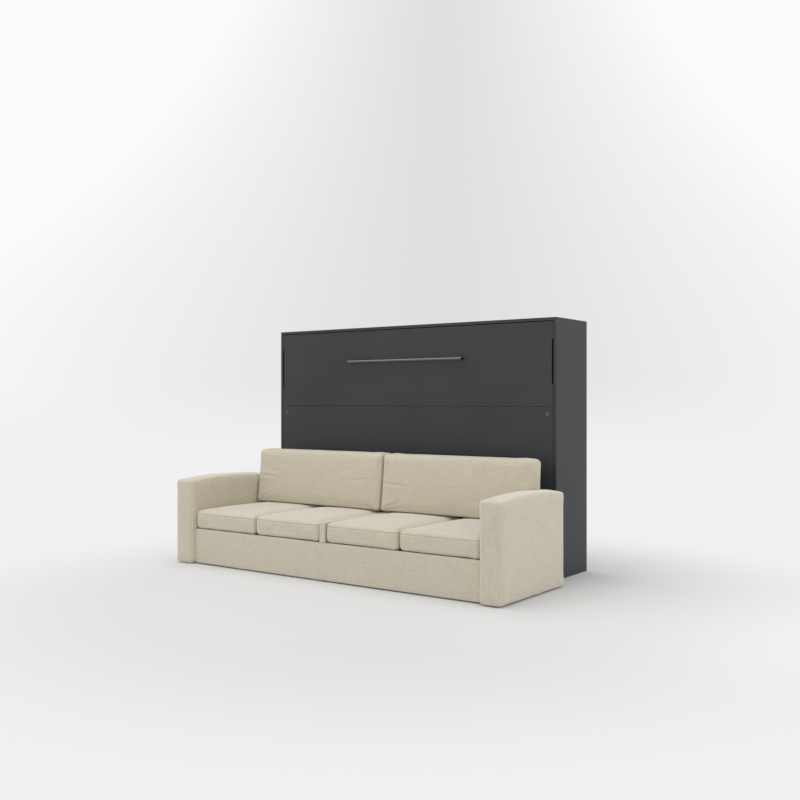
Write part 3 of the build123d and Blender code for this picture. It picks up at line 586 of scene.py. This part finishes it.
def cut_rings(piece, place, normal, reach, count):
    """Bisect a piece with parallel planes up to reach either way, so that a seam has its own rows of points."""
    make_active(piece)
    normal = Vector(normal).normalized()
    for step in np.linspace(-reach, reach, count):
        bpy.ops.object.mode_set(mode="EDIT")
        bpy.ops.mesh.select_all(action="SELECT")
        bpy.ops.mesh.bisect(plane_co=Vector(place) + normal * float(step), plane_no=normal)
        bpy.ops.object.mode_set(mode="OBJECT")


def sew(piece, place, normal, depth, width):
    """Pull a seam in along a plane, and let the cloth rise a little on both sides of it."""
    cut_rings(piece, place, normal, width * 1.5, 7)
    points, normals = points_of(piece), normals_of(piece)
    axis = np.array(Vector(normal).normalized())
    offset = (points - np.array(place)) @ axis
    flat = normals - np.outer(normals @ axis, axis)
    length = np.linalg.norm(flat, axis=1, keepdims=True)
    outward = flat / np.maximum(length, 1e-6)
    facing = np.clip(length[:, 0] * 2 - 0.6, 0, 1)
    lift = -depth * bell(offset, width) + 0.35 * depth * bell(np.abs(offset) - 3.2 * width, 1.6 * width)
    set_points(piece, points + outward * (lift * facing)[:, None])


def fold(piece, start, end, depth, width, side):
    """Press a tapered fold into the cloth from start to end, with a soft ridge beside it."""
    points = points_of(piece)
    a, b, side = np.array(start), np.array(end), np.array(Vector(side).normalized())
    along = b - a
    share = np.clip((points - a) @ along / (along @ along), 0, 1)
    away = points - (a + share[:, None] * along)
    away -= np.outer(away @ side, side)
    upward = np.cross(side, along / np.linalg.norm(along))
    cross = away @ upward
    reach = np.linalg.norm(away, axis=1)
    near = bell((points - a) @ side, 0.05)
    taper = np.sin(math.pi * np.clip(share * 0.86 + 0.14, 0, 1)) ** 0.8
    lift = -depth * bell(reach, width) + 0.7 * depth * bell(reach - 2.0 * width, width) * (cross > 0)
    set_points(piece, points + np.outer(lift * taper * near, side))


def ruffle(piece, height, size, seed):
    """Uneven filling: low, wide waves in the cover, from seeded noise."""
    points, normals = points_of(piece), normals_of(piece)
    shift = Vector((seed * 3.1, seed * 1.7, seed * 2.3))
    lift = np.array([noise.noise(Vector(p) / size + shift) for p in points])
    set_points(piece, points + normals * (lift * height)[:, None])


def mirror(piece, total):
    """Turn a piece about in X; a point's old and new X add up to the total."""
    points = points_of(piece)
    points[:, 0] = total - points[:, 0]
    set_points(piece, points)
    piece.data.flip_normals()


def stuff(piece, pressure, cap):
    """Swell an evenly meshed piece with cloth simulation; no point moves further than cap."""
    start = points_of(piece)
    make_active(piece)
    cloth = piece.modifiers.new("Cloth", "CLOTH")
    cloth.settings.quality = 5
    cloth.settings.use_pressure = True
    cloth.settings.uniform_pressure_force = pressure
    cloth.settings.effector_weights.gravity = 0.0
    cloth.point_cache.frame_start, cloth.point_cache.frame_end = 1, CLOTH_FRAMES
    for step in range(1, CLOTH_FRAMES + 1):
        bpy.context.scene.frame_set(step)
    bpy.ops.object.modifier_apply(modifier=cloth.name)
    bpy.context.scene.frame_set(1)
    move = points_of(piece) - start
    length = np.linalg.norm(move, axis=1)
    share = cap * np.tanh(length / cap) / np.maximum(length, 1e-9)
    set_points(piece, start + move * share[:, None])
    apply_modifier(piece, "SMOOTH", factor=0.5, iterations=5)


def finish_cloth(piece, material):
    """Smooth shading, and the cloth material as the piece's only material."""
    piece.data.materials.clear()
    piece.data.materials.append(material)
    make_active(piece)
    bpy.ops.object.shade_smooth()


def copy_piece(piece, name):
    """A copy with its own mesh."""
    twin = piece.copy()
    twin.data = piece.data.copy()
    twin.name = twin.data.name = name
    bpy.context.scene.collection.objects.link(twin)
    return twin


# ---------------------------------------------------------------- seat cushions

SEAT_SEAM_HEIGHT = 0.3195
SEAT_EDGE_TOP = 0.347
SEAT_CROWN = 0.016
# How far each cover stands out past its solid, to the left and to the right.
SEAT_REACH = {
    "far_left": (0.007, 0.0095), "left": (-0.0015, 0.0075), "right": (0.0065, 0.0035), "far_right": (0.0035, 0.007),
}
seat_low, seat_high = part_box("seat_cushion_left")


def seat_blank(low, high):
    """A boxed foam block with rounded edges and a crowned top."""
    blank = add_block("seat_blank", low, (high.x, high.y, SEAT_EDGE_TOP))
    round_edges(blank, 0.024, lambda p: low.z + 0.001 < p.z < SEAT_EDGE_TOP - 0.001)
    round_edges(blank, 0.021, lambda p: p.z > SEAT_EDGE_TOP - 0.001)
    round_edges(blank, 0.0235, lambda p: p.z < low.z + 0.001)
    remesh(blank, size=0.007)
    points = points_of(blank)
    centre, half = (low + high) / 2, (high - low) / 2
    u = np.clip((points[:, 0] - centre.x) / half.x, -1, 1)
    v = np.clip((points[:, 1] - centre.y) / half.y, -1, 1)
    raised = np.clip((points[:, 2] - low.z) / (SEAT_EDGE_TOP - low.z), 0, 1)
    points[:, 2] += SEAT_CROWN * (1 - np.abs(u) ** 2.6) * (1 - np.abs(v) ** 2.6) * raised
    # The cover pulls the long edges in between the corners.
    points[:, 0] -= np.sign(u) * 0.003 * np.abs(u) ** 4 * (1 - v**2)
    points[:, 1] -= np.sign(v) * 0.002 * np.abs(v) ** 4 * (1 - u**2)
    set_points(blank, points)
    return blank


def settle(piece, floor, low, high):
    """Keep a cushion on what carries it and off its neighbours."""
    points = points_of(piece)
    points[:, 2] = np.maximum(points[:, 2], floor)
    points[:, 0] = np.clip(points[:, 0], low.x, high.x)
    points[:, 1] = np.clip(points[:, 1], low.y, high.y)
    set_points(piece, points)


inset = Vector((0.004, 0.003, 0.0))
seat = seat_blank(seat_low + inset, seat_high - inset)
stuff(seat, pressure=3.5, cap=0.008)
for index, (name, (left_reach, right_reach)) in enumerate(SEAT_REACH.items()):
    node = "seat_cushion_" + name
    low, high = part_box(node)
    cushion = copy_piece(seat, "seat_cover_" + name)
    points = points_of(cushion)
    points[:, 0] += low.x - seat_low.x
    set_points(cushion, points)
    if index % 2:
        # Every second cushion is the same cover turned about, so no two neighbours share a wrinkle.
        mirror(cushion, low.x + high.x)
    # As they lie in the photo: close to the arms, and the two left cushions a little to the right.
    near = Vector((low.x - left_reach, low.y - 0.002, low.z))
    far = Vector((high.x + right_reach, high.y, high.z - 0.003))
    fit(cushion, near, far, front=0.05)
    ruffle(cushion, height=0.0010, size=0.13, seed=index + 1)
    settle(cushion, low.z, near, far)
    refine(cushion)
    middle = ((low.x + high.x) / 2, (low.y + high.y) / 2, SEAT_SEAM_HEIGHT)
    sew(cushion, middle, (0, 0, 1), depth=0.0030, width=0.0026)
    # Small puckers near the lower front corners, where the boxing strip is sewn round.
    for corner_x, turn in ((low.x, 1), (high.x, -1)):
        for row, rise in enumerate((0.248, 0.262, 0.277)):
            start = (corner_x + turn * 0.012, low.y + 0.002, rise)
            end = (corner_x + turn * (0.044 + 0.008 * row), low.y + 0.002, rise + 0.014 + 0.004 * row)
            fold(cushion, start, end, depth=0.0010, width=0.0034, side=(0, -1, 0))
    finish_cloth(cushion, linen)
    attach(cushion, "cabinet_and_sofa")
    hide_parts(node)
bpy.data.objects.remove(seat)


# ---------------------------------------------------------------- back cushions

LEAN = 0.044
BACK_FOOT, BACK_HEAD = 0.3555, 0.7045
# How far each cover is drawn out past its solid, to the left, to the right and upward, and where its sides stop.
BACK_REACH = {"left": (0.024, 0.011, 0.006), "right": (0.011, 0.014, 0.004)}
BACK_LIMIT = {"left": (0.0176, 0.0045), "right": (0.0045, 0.0176)}
back_low, back_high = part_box("back_cushion_right")
BACK_FRONT = back_low.y
# Folds in the front faces: start, end, depth and width.
BACK_FOLDS = {
    "left": (
        ((-1.035, BACK_FRONT, 0.545), (-0.845, BACK_FRONT, 0.527), 0.0032, 0.0085),
        ((-1.030, BACK_FRONT, 0.500), (-0.900, BACK_FRONT, 0.492), 0.0014, 0.0070),
        ((-1.030, BACK_FRONT, 0.375), (-0.930, BACK_FRONT, 0.425), 0.0026, 0.0080),
        ((-1.005, BACK_FRONT, 0.368), (-0.880, BACK_FRONT, 0.398), 0.0020, 0.0065),
        ((-0.950, BACK_FRONT, 0.585), (-0.830, BACK_FRONT, 0.566), 0.0018, 0.0080),
        ((-0.300, BACK_FRONT, 0.535), (-0.060, BACK_FRONT, 0.552), 0.0018, 0.0090),
        ((-0.150, BACK_FRONT, 0.385), (-0.030, BACK_FRONT, 0.372), 0.0020, 0.0080),
    ),
    "right": (
        ((0.020, BACK_FRONT, 0.536), (0.235, BACK_FRONT, 0.520), 0.0030, 0.0085),
        ((0.030, BACK_FRONT, 0.500), (0.150, BACK_FRONT, 0.490), 0.0012, 0.0070),
        ((0.030, BACK_FRONT, 0.380), (0.170, BACK_FRONT, 0.432), 0.0024, 0.0080),
        ((0.060, BACK_FRONT, 0.366), (0.200, BACK_FRONT, 0.396), 0.0018, 0.0065),
        ((0.780, BACK_FRONT, 0.372), (1.010, BACK_FRONT, 0.382), 0.0020, 0.0080),
    ),
}


def back_blank(low, high):
    """A wedge-shaped boxed cushion with a full front and rounded top corners."""
    foot, head, front_y, rear_y = BACK_FOOT, BACK_HEAD, -0.0525, 0.1115
    blank = add_block("back_blank", (low.x, front_y, foot), (high.x, rear_y, head))
    inner, outer = low.x + 0.001, high.x - 0.001
    between = (front_y + 0.001, rear_y - 0.001)
    round_edges(blank, 0.028, lambda p: p.x > outer and p.z > head - 0.001 and between[0] < p.y < between[1])
    round_edges(blank, 0.022, lambda p: p.x > outer and p.z < foot + 0.001 and between[0] < p.y < between[1])
    round_edges(blank, 0.017, lambda p: p.x < inner and between[0] < p.y < between[1])
    round_edges(blank, 0.014, lambda p: p.y < between[0])
    round_edges(blank, 0.015, lambda p: p.y > between[1])
    remesh(blank, size=0.0075)
    points = points_of(blank)
    centre, half = (low.x + high.x) / 2, (high.x - low.x) / 2
    u = np.clip((points[:, 0] - centre) / half, -1, 1)
    w = np.clip((points[:, 2] - foot) / (head - foot), 0, 1)
    front = np.clip((rear_y - points[:, 1]) / (rear_y - front_y), 0, 1)
    points[:, 1] += front * LEAN * w
    belly = (1 - np.abs(u) ** 4) * np.sin(math.pi * w)
    points[:, 1] -= 0.006 * belly * front**3
    points[:, 2] += 0.005 * (1 - np.abs(u) ** 4) * w**4
    # The lower corners are drawn in a little, as the cover is tightest there, and more so at the arm.
    drawn_in = np.where(u > 0, 0.008, 0.003)
    points[:, 0] -= np.sign(u) * drawn_in * (1 - w) ** 2 * np.abs(u) ** 6
    set_points(blank, points)
    return blank


inset = Vector((0.006, 0.0, 0.0))
back = back_blank(back_low + inset, back_high - inset)
stuff(back, pressure=3.0, cap=0.007)
lean_angle = math.atan(LEAN / 0.35)
front_slope = Vector((0, math.cos(lean_angle), -math.sin(lean_angle)))
for index, name in enumerate(("left", "right")):
    node = "back_cushion_" + name
    low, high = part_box(node)
    cushion = copy_piece(back, "back_cover_" + name)
    if name == "left":
        mirror(cushion, 0.0)
    # The cushions press flat against each other in the middle and reach close to the arms.
    to_left, to_right, upward = BACK_REACH[name]
    near = Vector((low.x - to_left, low.y, BACK_FOOT + 0.0001))
    far = Vector((high.x + to_right, high.y, high.z + upward))
    fit(cushion, near, far, front=0.09)
    # Their outer sides stop short of the arm covers, which they pass when they are lifted off.
    left_limit, right_limit = BACK_LIMIT[name]
    near.x, far.x = max(near.x, low.x - left_limit), min(far.x, high.x + right_limit)
    ruffle(cushion, height=0.0010, size=0.17, seed=index + 7)
    settle(cushion, near.z, near - Vector((0, 0.002, 0)), far)
    refine(cushion)
    middle_x = (low.x + high.x) / 2
    sew(cushion, (middle_x, -0.036, BACK_FOOT), front_slope, depth=0.0010, width=0.0026)
    sew(cushion, (middle_x, high.y - 0.020, BACK_FOOT), (0, 1, 0), depth=0.0024, width=0.0024)
    for start, end, depth, width in BACK_FOLDS[name]:
        fold(cushion, start, end, depth, width, (0, -1, 0))
    finish_cloth(cushion, linen)
    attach(cushion, node)
    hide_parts(node)
bpy.data.objects.remove(back)


# ---------------------------------------------------------------- arm rests

ARM_EDGE_TOP = 0.535
ARM_CROWN = 0.022
# The cover hangs to just above the floor and hides the glides.
ARM_FOOT = 0.002
# How far each cover stands out past its solid, to the left and to the right. The inner sides, 3.8 mm out, leave
# the bed's panel room to come down between them.
ARM_REACH = {"right": (0.0038, 0.004), "left": (0.0085, 0.0038)}
arm_low, arm_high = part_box("arm_cover_right")
inset = Vector((0.003, 0.003, 0.0))
low, high = arm_low + inset, arm_high - inset
arm = add_block("arm_blank", (low.x, low.y, ARM_FOOT), (high.x, high.y, ARM_EDGE_TOP - 0.003))
on_side = (ARM_FOOT + 0.001, ARM_EDGE_TOP - 0.004)
round_edges(arm, 0.028, lambda p: on_side[0] < p.z < on_side[1] and p.x < low.x + 0.001 and p.y < 0)
round_edges(arm, 0.016, lambda p: on_side[0] < p.z < on_side[1])
round_edges(arm, 0.0158, lambda p: p.z > on_side[1])
round_edges(arm, 0.013, lambda p: p.z < on_side[0])
remesh(arm, size=0.0075)
points = points_of(arm)
v = np.clip((points[:, 1] - (low.y + high.y) / 2) / ((high.y - low.y) / 2), -1, 1)
w = np.clip(points[:, 2] / ARM_EDGE_TOP, 0, 1)
points[:, 2] += ARM_CROWN * (1 - v**2) * w
set_points(arm, points)
stuff(arm, pressure=2.5, cap=0.0045)
for index, (name, (left_reach, right_reach)) in enumerate(ARM_REACH.items()):
    node = "arm_cover_" + name
    low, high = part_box(node)
    cover = copy_piece(arm, "arm_rest_cover_" + name)
    if name == "left":
        mirror(cover, 0.0)
    near = Vector((low.x - left_reach, low.y - 0.003, ARM_FOOT))
    far = Vector((high.x + right_reach, high.y + 0.003, high.z))
    fit(cover, near, far, front=0.06)
    ruffle(cover, height=0.0010, size=0.15, seed=index + 31)
    # Between its edges the outer side may swell 2 mm further; the inner side stays clear of the seat.
    swell = Vector((0.002, 0.0, 0.0))
    if name == "left":
        near -= swell
    else:
        far += swell
    settle(cover, ARM_FOOT, near, far)
    refine(cover)
    sew(cover, ((low.x + high.x) / 2, low.y + 0.016, 0.3), (0, 1, 0), depth=0.0012, width=0.0020)
    finish_cloth(cover, linen)
    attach(cover, "cabinet_and_sofa")
    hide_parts(node)
bpy.data.objects.remove(arm)


# ---------------------------------------------------------------- front rail and divider

low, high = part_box("sofa_front_rail")
rail = add_block("front_rail_cover", low, high)
bevel(rail, width=0.006, segments=4)
remesh(rail, size=0.007)
ruffle(rail, height=0.0010, size=0.20, seed=41)
points = points_of(rail)
points[:, 2] = np.clip(points[:, 2], low.z, high.z)
points[:, 1] = np.minimum(points[:, 1], high.y)
set_points(rail, points)
finish_cloth(rail, linen)
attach(rail, "cabinet_and_sofa")
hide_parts("sofa_front_rail")

low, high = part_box("centre_divider")
# The cover is 2.5 mm narrower at its left and stands 2 mm out in front.
divider = add_block("divider_cover", (low.x + 0.0025, low.y - 0.002, low.z + 0.0002), (high.x, high.y, high.z))
subdivide(divider, 7)
bevel(divider, width=0.008, segments=5)
remesh(divider, size=0.004)
ruffle(divider, height=0.0012, size=0.05, seed=51)
points = points_of(divider)
points[:, 2] = np.maximum(points[:, 2], low.z)
set_points(divider, points)
finish_cloth(divider, linen)
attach(divider, "cabinet_and_sofa")
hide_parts("centre_divider")


# ---------------------------------------------------------------- mattress and straps

MATTRESS_HALF = 1.0
CORNER = 0.040
QUILT = 0.125
QUILT_DEPTH = 0.0055
TAPE_INSET, TAPE_RADIUS = 0.012, 0.0035
low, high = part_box("mattress")
mattress = add_block("mattress_cover", low, high)
make_active(mattress)
bpy.ops.object.mode_set(mode="EDIT")
mesh = bmesh.from_edit_mesh(mattress.data)
for edge in mesh.edges:
    edge.select = abs(edge.verts[0].co.y - edge.verts[1].co.y) > 0.1
bmesh.update_edit_mesh(mattress.data)
bpy.ops.mesh.bevel(offset=CORNER, segments=6)
bpy.ops.object.mode_set(mode="OBJECT")
bevel(mattress, width=0.014, segments=4)
remesh(mattress, size=0.0135)
refine(mattress)
points, normals = points_of(mattress), normals_of(mattress)
# Quilting in diamonds 125 mm wide: the stitch lines pull the panels in and the fields between them stand up.
x, z = points[:, 0], points[:, 2]
border = np.minimum(MATTRESS_HALF - np.abs(x), np.minimum(z - low.z, high.z - z))
panel = np.clip((np.abs(normals[:, 1]) - 0.8) * 5, 0, 1) * np.clip((border - 0.02) / 0.03, 0, 1)
field = np.abs(np.cos(math.pi * (x + z) / QUILT) * np.cos(math.pi * (x - z) / QUILT)) ** 0.5
points += normals * ((field - 1.0) * QUILT_DEPTH * panel)[:, None]
# Both ends are drawn in by 1.5 mm.
points[:, 0] += np.where(np.abs(normals[:, 0]) > 0.6, np.sign(normals[:, 0]) * -0.0015, 0)
set_points(mattress, points)
finish_cloth(mattress, ticking)
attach(mattress, "bed")
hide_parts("mattress")


def edge_ring(name, y, low, high, corner, radius):
    """A round tape that runs round the mattress at one depth."""
    bpy.ops.object.select_all(action="DESELECT")
    bpy.ops.mesh.primitive_plane_add(size=1.0, location=(0, y, 0))
    ring = bpy.context.object
    ring.name = ring.data.name = name
    bpy.ops.object.transform_apply(location=True, rotation=True, scale=True)
    flat = points_of(ring)
    centre = (low + high) / 2
    half = (high - low) / 2
    corners = np.column_stack(
        [centre.x + np.sign(flat[:, 0]) * half.x, np.full(4, y), centre.z + np.sign(flat[:, 1]) * half.z]
    )
    set_points(ring, corners)
    bpy.ops.object.mode_set(mode="EDIT")
    bpy.ops.mesh.select_all(action="SELECT")
    bpy.ops.mesh.delete(type="ONLY_FACE")
    bpy.ops.mesh.select_all(action="SELECT")
    bpy.ops.mesh.bevel(offset=corner, segments=6, affect="VERTICES")
    bpy.ops.object.mode_set(mode="OBJECT")
    make_active(ring)
    bpy.ops.object.convert(target="CURVE")
    ring.data.bevel_depth = radius
    ring.data.bevel_resolution = 3
    bpy.ops.object.convert(target="MESH")
    bpy.ops.object.shade_smooth()
    return bpy.context.object


first_ring = edge_ring("edge_tape", 0.0, low, high, CORNER, TAPE_RADIUS)
for name, y in (("inner", low.y + TAPE_INSET), ("outer", high.y - TAPE_INSET)):
    ring = copy_piece(first_ring, "mattress_edge_tape_" + name)
    points = points_of(ring)
    points[:, 1] += y
    set_points(ring, points)
    ring.data.materials.clear()
    ring.data.materials.append(tape)
    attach(ring, "bed")
bpy.data.objects.remove(first_ring)

STRAP_X = {"left": -0.6, "right": 0.6}
STRAP_WIDTH = 0.040
STRAP_THICK = 0.002
STRAP_BEND = 0.019
strap_low, strap_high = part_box("mattress_straps")
# The run of both straps, as Y and Z in the middle of their thickness.
front, back_y = strap_low.y, strap_high.y - STRAP_THICK / 2
foot, head = strap_low.z + STRAP_THICK / 2, strap_high.z - STRAP_THICK / 2
bend_y, turn = back_y - STRAP_BEND, STRAP_BEND
arc = [math.radians(a) for a in range(0, 91, 15)]
profile = [(front, foot)]
profile += [(bend_y + turn * math.sin(a), foot + turn - turn * math.cos(a)) for a in arc]
profile += [(bend_y + turn * math.cos(a), head - turn + turn * math.sin(a)) for a in arc]
profile += [(front, head)]
# A flat band from a plane: its end edge is extruded round the mattress, then it gets its thickness.
bpy.ops.object.select_all(action="DESELECT")
bpy.ops.mesh.primitive_plane_add(size=1.0, location=(0, 0, 0))
band = bpy.context.object
band.name = band.data.name = "strap_band"
flat = points_of(band)
start_edge = flat[:, 1] < 0
flat[:, 0] *= STRAP_WIDTH
flat[start_edge, 1:] = profile[0]
flat[~start_edge, 1:] = profile[1]
set_points(band, flat)
make_active(band)
bpy.ops.object.mode_set(mode="EDIT")
bpy.ops.mesh.select_mode(type="EDGE")
bpy.ops.mesh.select_all(action="DESELECT")
mesh = bmesh.from_edit_mesh(band.data)
for edge in mesh.edges:
    edge.select = all(v.co.y > profile[1][0] - 0.001 for v in edge.verts)
bmesh.update_edit_mesh(band.data)
for here, there in zip(profile[1:], profile[2:]):
    step = (0, there[0] - here[0], there[1] - here[1])
    bpy.ops.mesh.extrude_region_move(TRANSFORM_OT_translate={"value": step})
bpy.ops.mesh.select_all(action="SELECT")
bpy.ops.mesh.normals_make_consistent(inside=False)
bpy.ops.object.mode_set(mode="OBJECT")
apply_modifier(band, "SOLIDIFY", thickness=STRAP_THICK, offset=0.0)
bevel(band, width=0.0006, segments=2)
for name, middle in STRAP_X.items():
    strap = copy_piece(band, "mattress_strap_" + name)
    points = points_of(strap)
    points[:, 0] += middle
    set_points(strap, points)
    strap.data.materials.clear()
    strap.data.materials.append(strap_cloth)
    make_active(strap)
    bpy.ops.object.shade_smooth_by_angle(angle=math.radians(40))
    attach(strap, "bed")
    if name == "left":
        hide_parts("mattress_straps")
bpy.data.objects.remove(band)


# ---------------------------------------------------------------- studio

SKY_LOW = "#F0F0F0"
# The direction across the backdrop; rays square to it meet its darkest column.
BACKDROP_ACROSS = (0.834, 0.552, 0.0)
BACKDROP_TONES = [
    (0.0, "#DFDFDF"), (0.06, "#E1E1E1"), (0.12, "#E4E4E4"), (0.24, "#EBEBEB"), (0.36, "#F1F1F1"), (0.54, "#FCFCFC"),
]
WORLD_FRONT, WORLD_BACK = 0.84, 0.82
FLOOR_NEAR = "#DCDCDC"
FLOOR_RADIUS = 16.0
# The floor fades into the sky between two distances from a point under the unit.
HAZE_MIDDLE = (0.45, -0.55, 0.0)
HAZE_FROM, HAZE_TO = 1.3, 2.8


def seen_directly(paint):
    """1 for rays from the camera, off a gloss or through glass, and 0 for the light that falls on things."""
    ray = add(paint, "LightPath").outputs
    direct = add(paint, "Math", {0: ray["Is Camera Ray"], 1: ray["Is Glossy Ray"]}, operation="MAXIMUM")
    seen = add(paint, "Math", {0: direct.outputs[0], 1: ray["Is Transmission Ray"]}, operation="MAXIMUM")
    return seen.outputs[0]


bpy.ops.object.select_all(action="DESELECT")
bpy.ops.mesh.primitive_circle_add(vertices=128, radius=FLOOR_RADIUS, fill_type="NGON", location=(0, 0, 0))
floor = bpy.context.object
floor.name = floor.data.name = "studio_floor"
floor_paint, floor_shader = start_material("studio_floor_paint", FLOOR_NEAR, 0.9, Specular_IOR_Level=0.1)
floor_point = add(floor_paint, "TexCoord").outputs["Object"]
distance = add(floor_paint, "VectorMath", {0: floor_point, 1: HAZE_MIDDLE}, operation="DISTANCE")
haze = add(
    floor_paint, "MapRange", {"Value": distance.outputs["Value"], "From Min": HAZE_FROM, "From Max": HAZE_TO},
    interpolation_type="SMOOTHSTEP",
)
mist = add(floor_paint, "Math", {0: haze.outputs[0], 1: seen_directly(floor_paint)}, operation="MULTIPLY")
glow = add(floor_paint, "Emission", {"Color": linear(SKY_LOW), "Strength": 1.0})
mixed = add(floor_paint, "MixShader", {0: mist.outputs[0], 1: floor_shader.outputs[0], 2: glow.outputs[0]})
floor_paint.node_tree.links.new(mixed.outputs[0], floor_paint.node_tree.nodes["Material Output"].inputs["Surface"])
floor.data.materials.append(floor_paint)
floor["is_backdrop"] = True

world = bpy.data.worlds.new("studio_world")
bpy.context.scene.world = world
world.use_nodes = True
sky = world.node_tree.nodes["Background"]
sky.inputs["Color"].default_value = linear("#FFFFFF")
direction_vector = add(world, "TexCoord").outputs["Generated"]
direction = add(world, "SeparateXYZ", {"Vector": direction_vector})
# The backdrop is unevenly lit: darkest in a soft column behind the cabinet, lighter to both sides and upward.
sideways = add(world, "VectorMath", {0: direction_vector, 1: BACKDROP_ACROSS}, operation="DOT_PRODUCT")
aside = add(world, "Math", {0: sideways.outputs["Value"]}, operation="ABSOLUTE")
steepness = add(world, "Math", {0: direction.outputs["Z"], 1: direction.outputs["Z"]}, operation="MULTIPLY")
upward = add(world, "Math", {0: steepness.outputs[0], 1: 12.0, 2: 1.0}, operation="MULTIPLY_ADD")
away = add(world, "Math", {0: aside.outputs[0], 1: upward.outputs[0]}, operation="MULTIPLY")
backdrop = add(world, "ValToRGB", {"Fac": away.outputs[0]}, stops=BACKDROP_TONES).outputs["Color"]
above = add(world, "MapRange", {"Value": direction.outputs["Z"], "From Min": -0.045, "From Max": 0.02})
shown_colour = add(
    world, "Mix", {"Factor": above.outputs[0], 6: linear(SKY_LOW), 7: backdrop}, data_type="RGBA"
).outputs[2]
shown = add(world, "Background", {"Color": shown_colour})
# Slightly less light comes from behind the unit than from its front.
strength = add(
    world, "MapRange",
    {"Value": direction.outputs["Y"], "From Min": -0.1, "From Max": 0.7, "To Min": WORLD_FRONT, "To Max": WORLD_BACK},
)
world.node_tree.links.new(strength.outputs[0], sky.inputs["Strength"])
mixed = add(world, "MixShader", {0: seen_directly(world), 1: sky.outputs[0], 2: shown.outputs[0]})
world.node_tree.links.new(mixed.outputs[0], world.node_tree.nodes["World Output"].inputs["Surface"])


def softbox(name, place, aim, size, power):
    """A rectangular softbox that faces a point; the camera doesn't see it."""
    lamp = bpy.data.lights.new(name, "AREA")
    lamp.energy = power
    lamp.shape = "RECTANGLE"
    lamp.size, lamp.size_y = size
    holder = bpy.data.objects.new(name, lamp)
    holder.location = place
    holder.rotation_euler = (Vector(aim) - Vector(place)).to_track_quat("-Z", "Y").to_euler()
    holder.visible_camera = False
    bpy.context.scene.collection.objects.link(holder)


softbox("top_softbox", (-0.6, -0.3, 4.4), (0.0, -0.1, 0.4), (4.4, 2.6), 60)
softbox("right_softbox", (3.2, -0.3, 0.85), (1.2, -0.3, 0.3), (1.6, 0.9), 6.7)
softbox("front_softbox", (-0.8, -5.6, 2.6), (0.0, 0.0, 0.6), (3.2, 2.4), 25)

# The camera of the photo, from its vanishing points.
camera = bpy.data.cameras.new("photo_camera")
camera.sensor_width = 36.0
camera.lens = 43.456
camera.shift_y = 0.0016
camera_holder = bpy.data.objects.new("photo_camera", camera)
camera_holder.location = (3.6406, -4.8569, 1.0438)
camera_holder.rotation_euler = (math.radians(90), 0, math.radians(35.9))
bpy.context.scene.collection.objects.link(camera_holder)
bpy.context.scene.camera = camera_holder
bpy.context.scene.view_settings.view_transform = "Standard"

low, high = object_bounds()
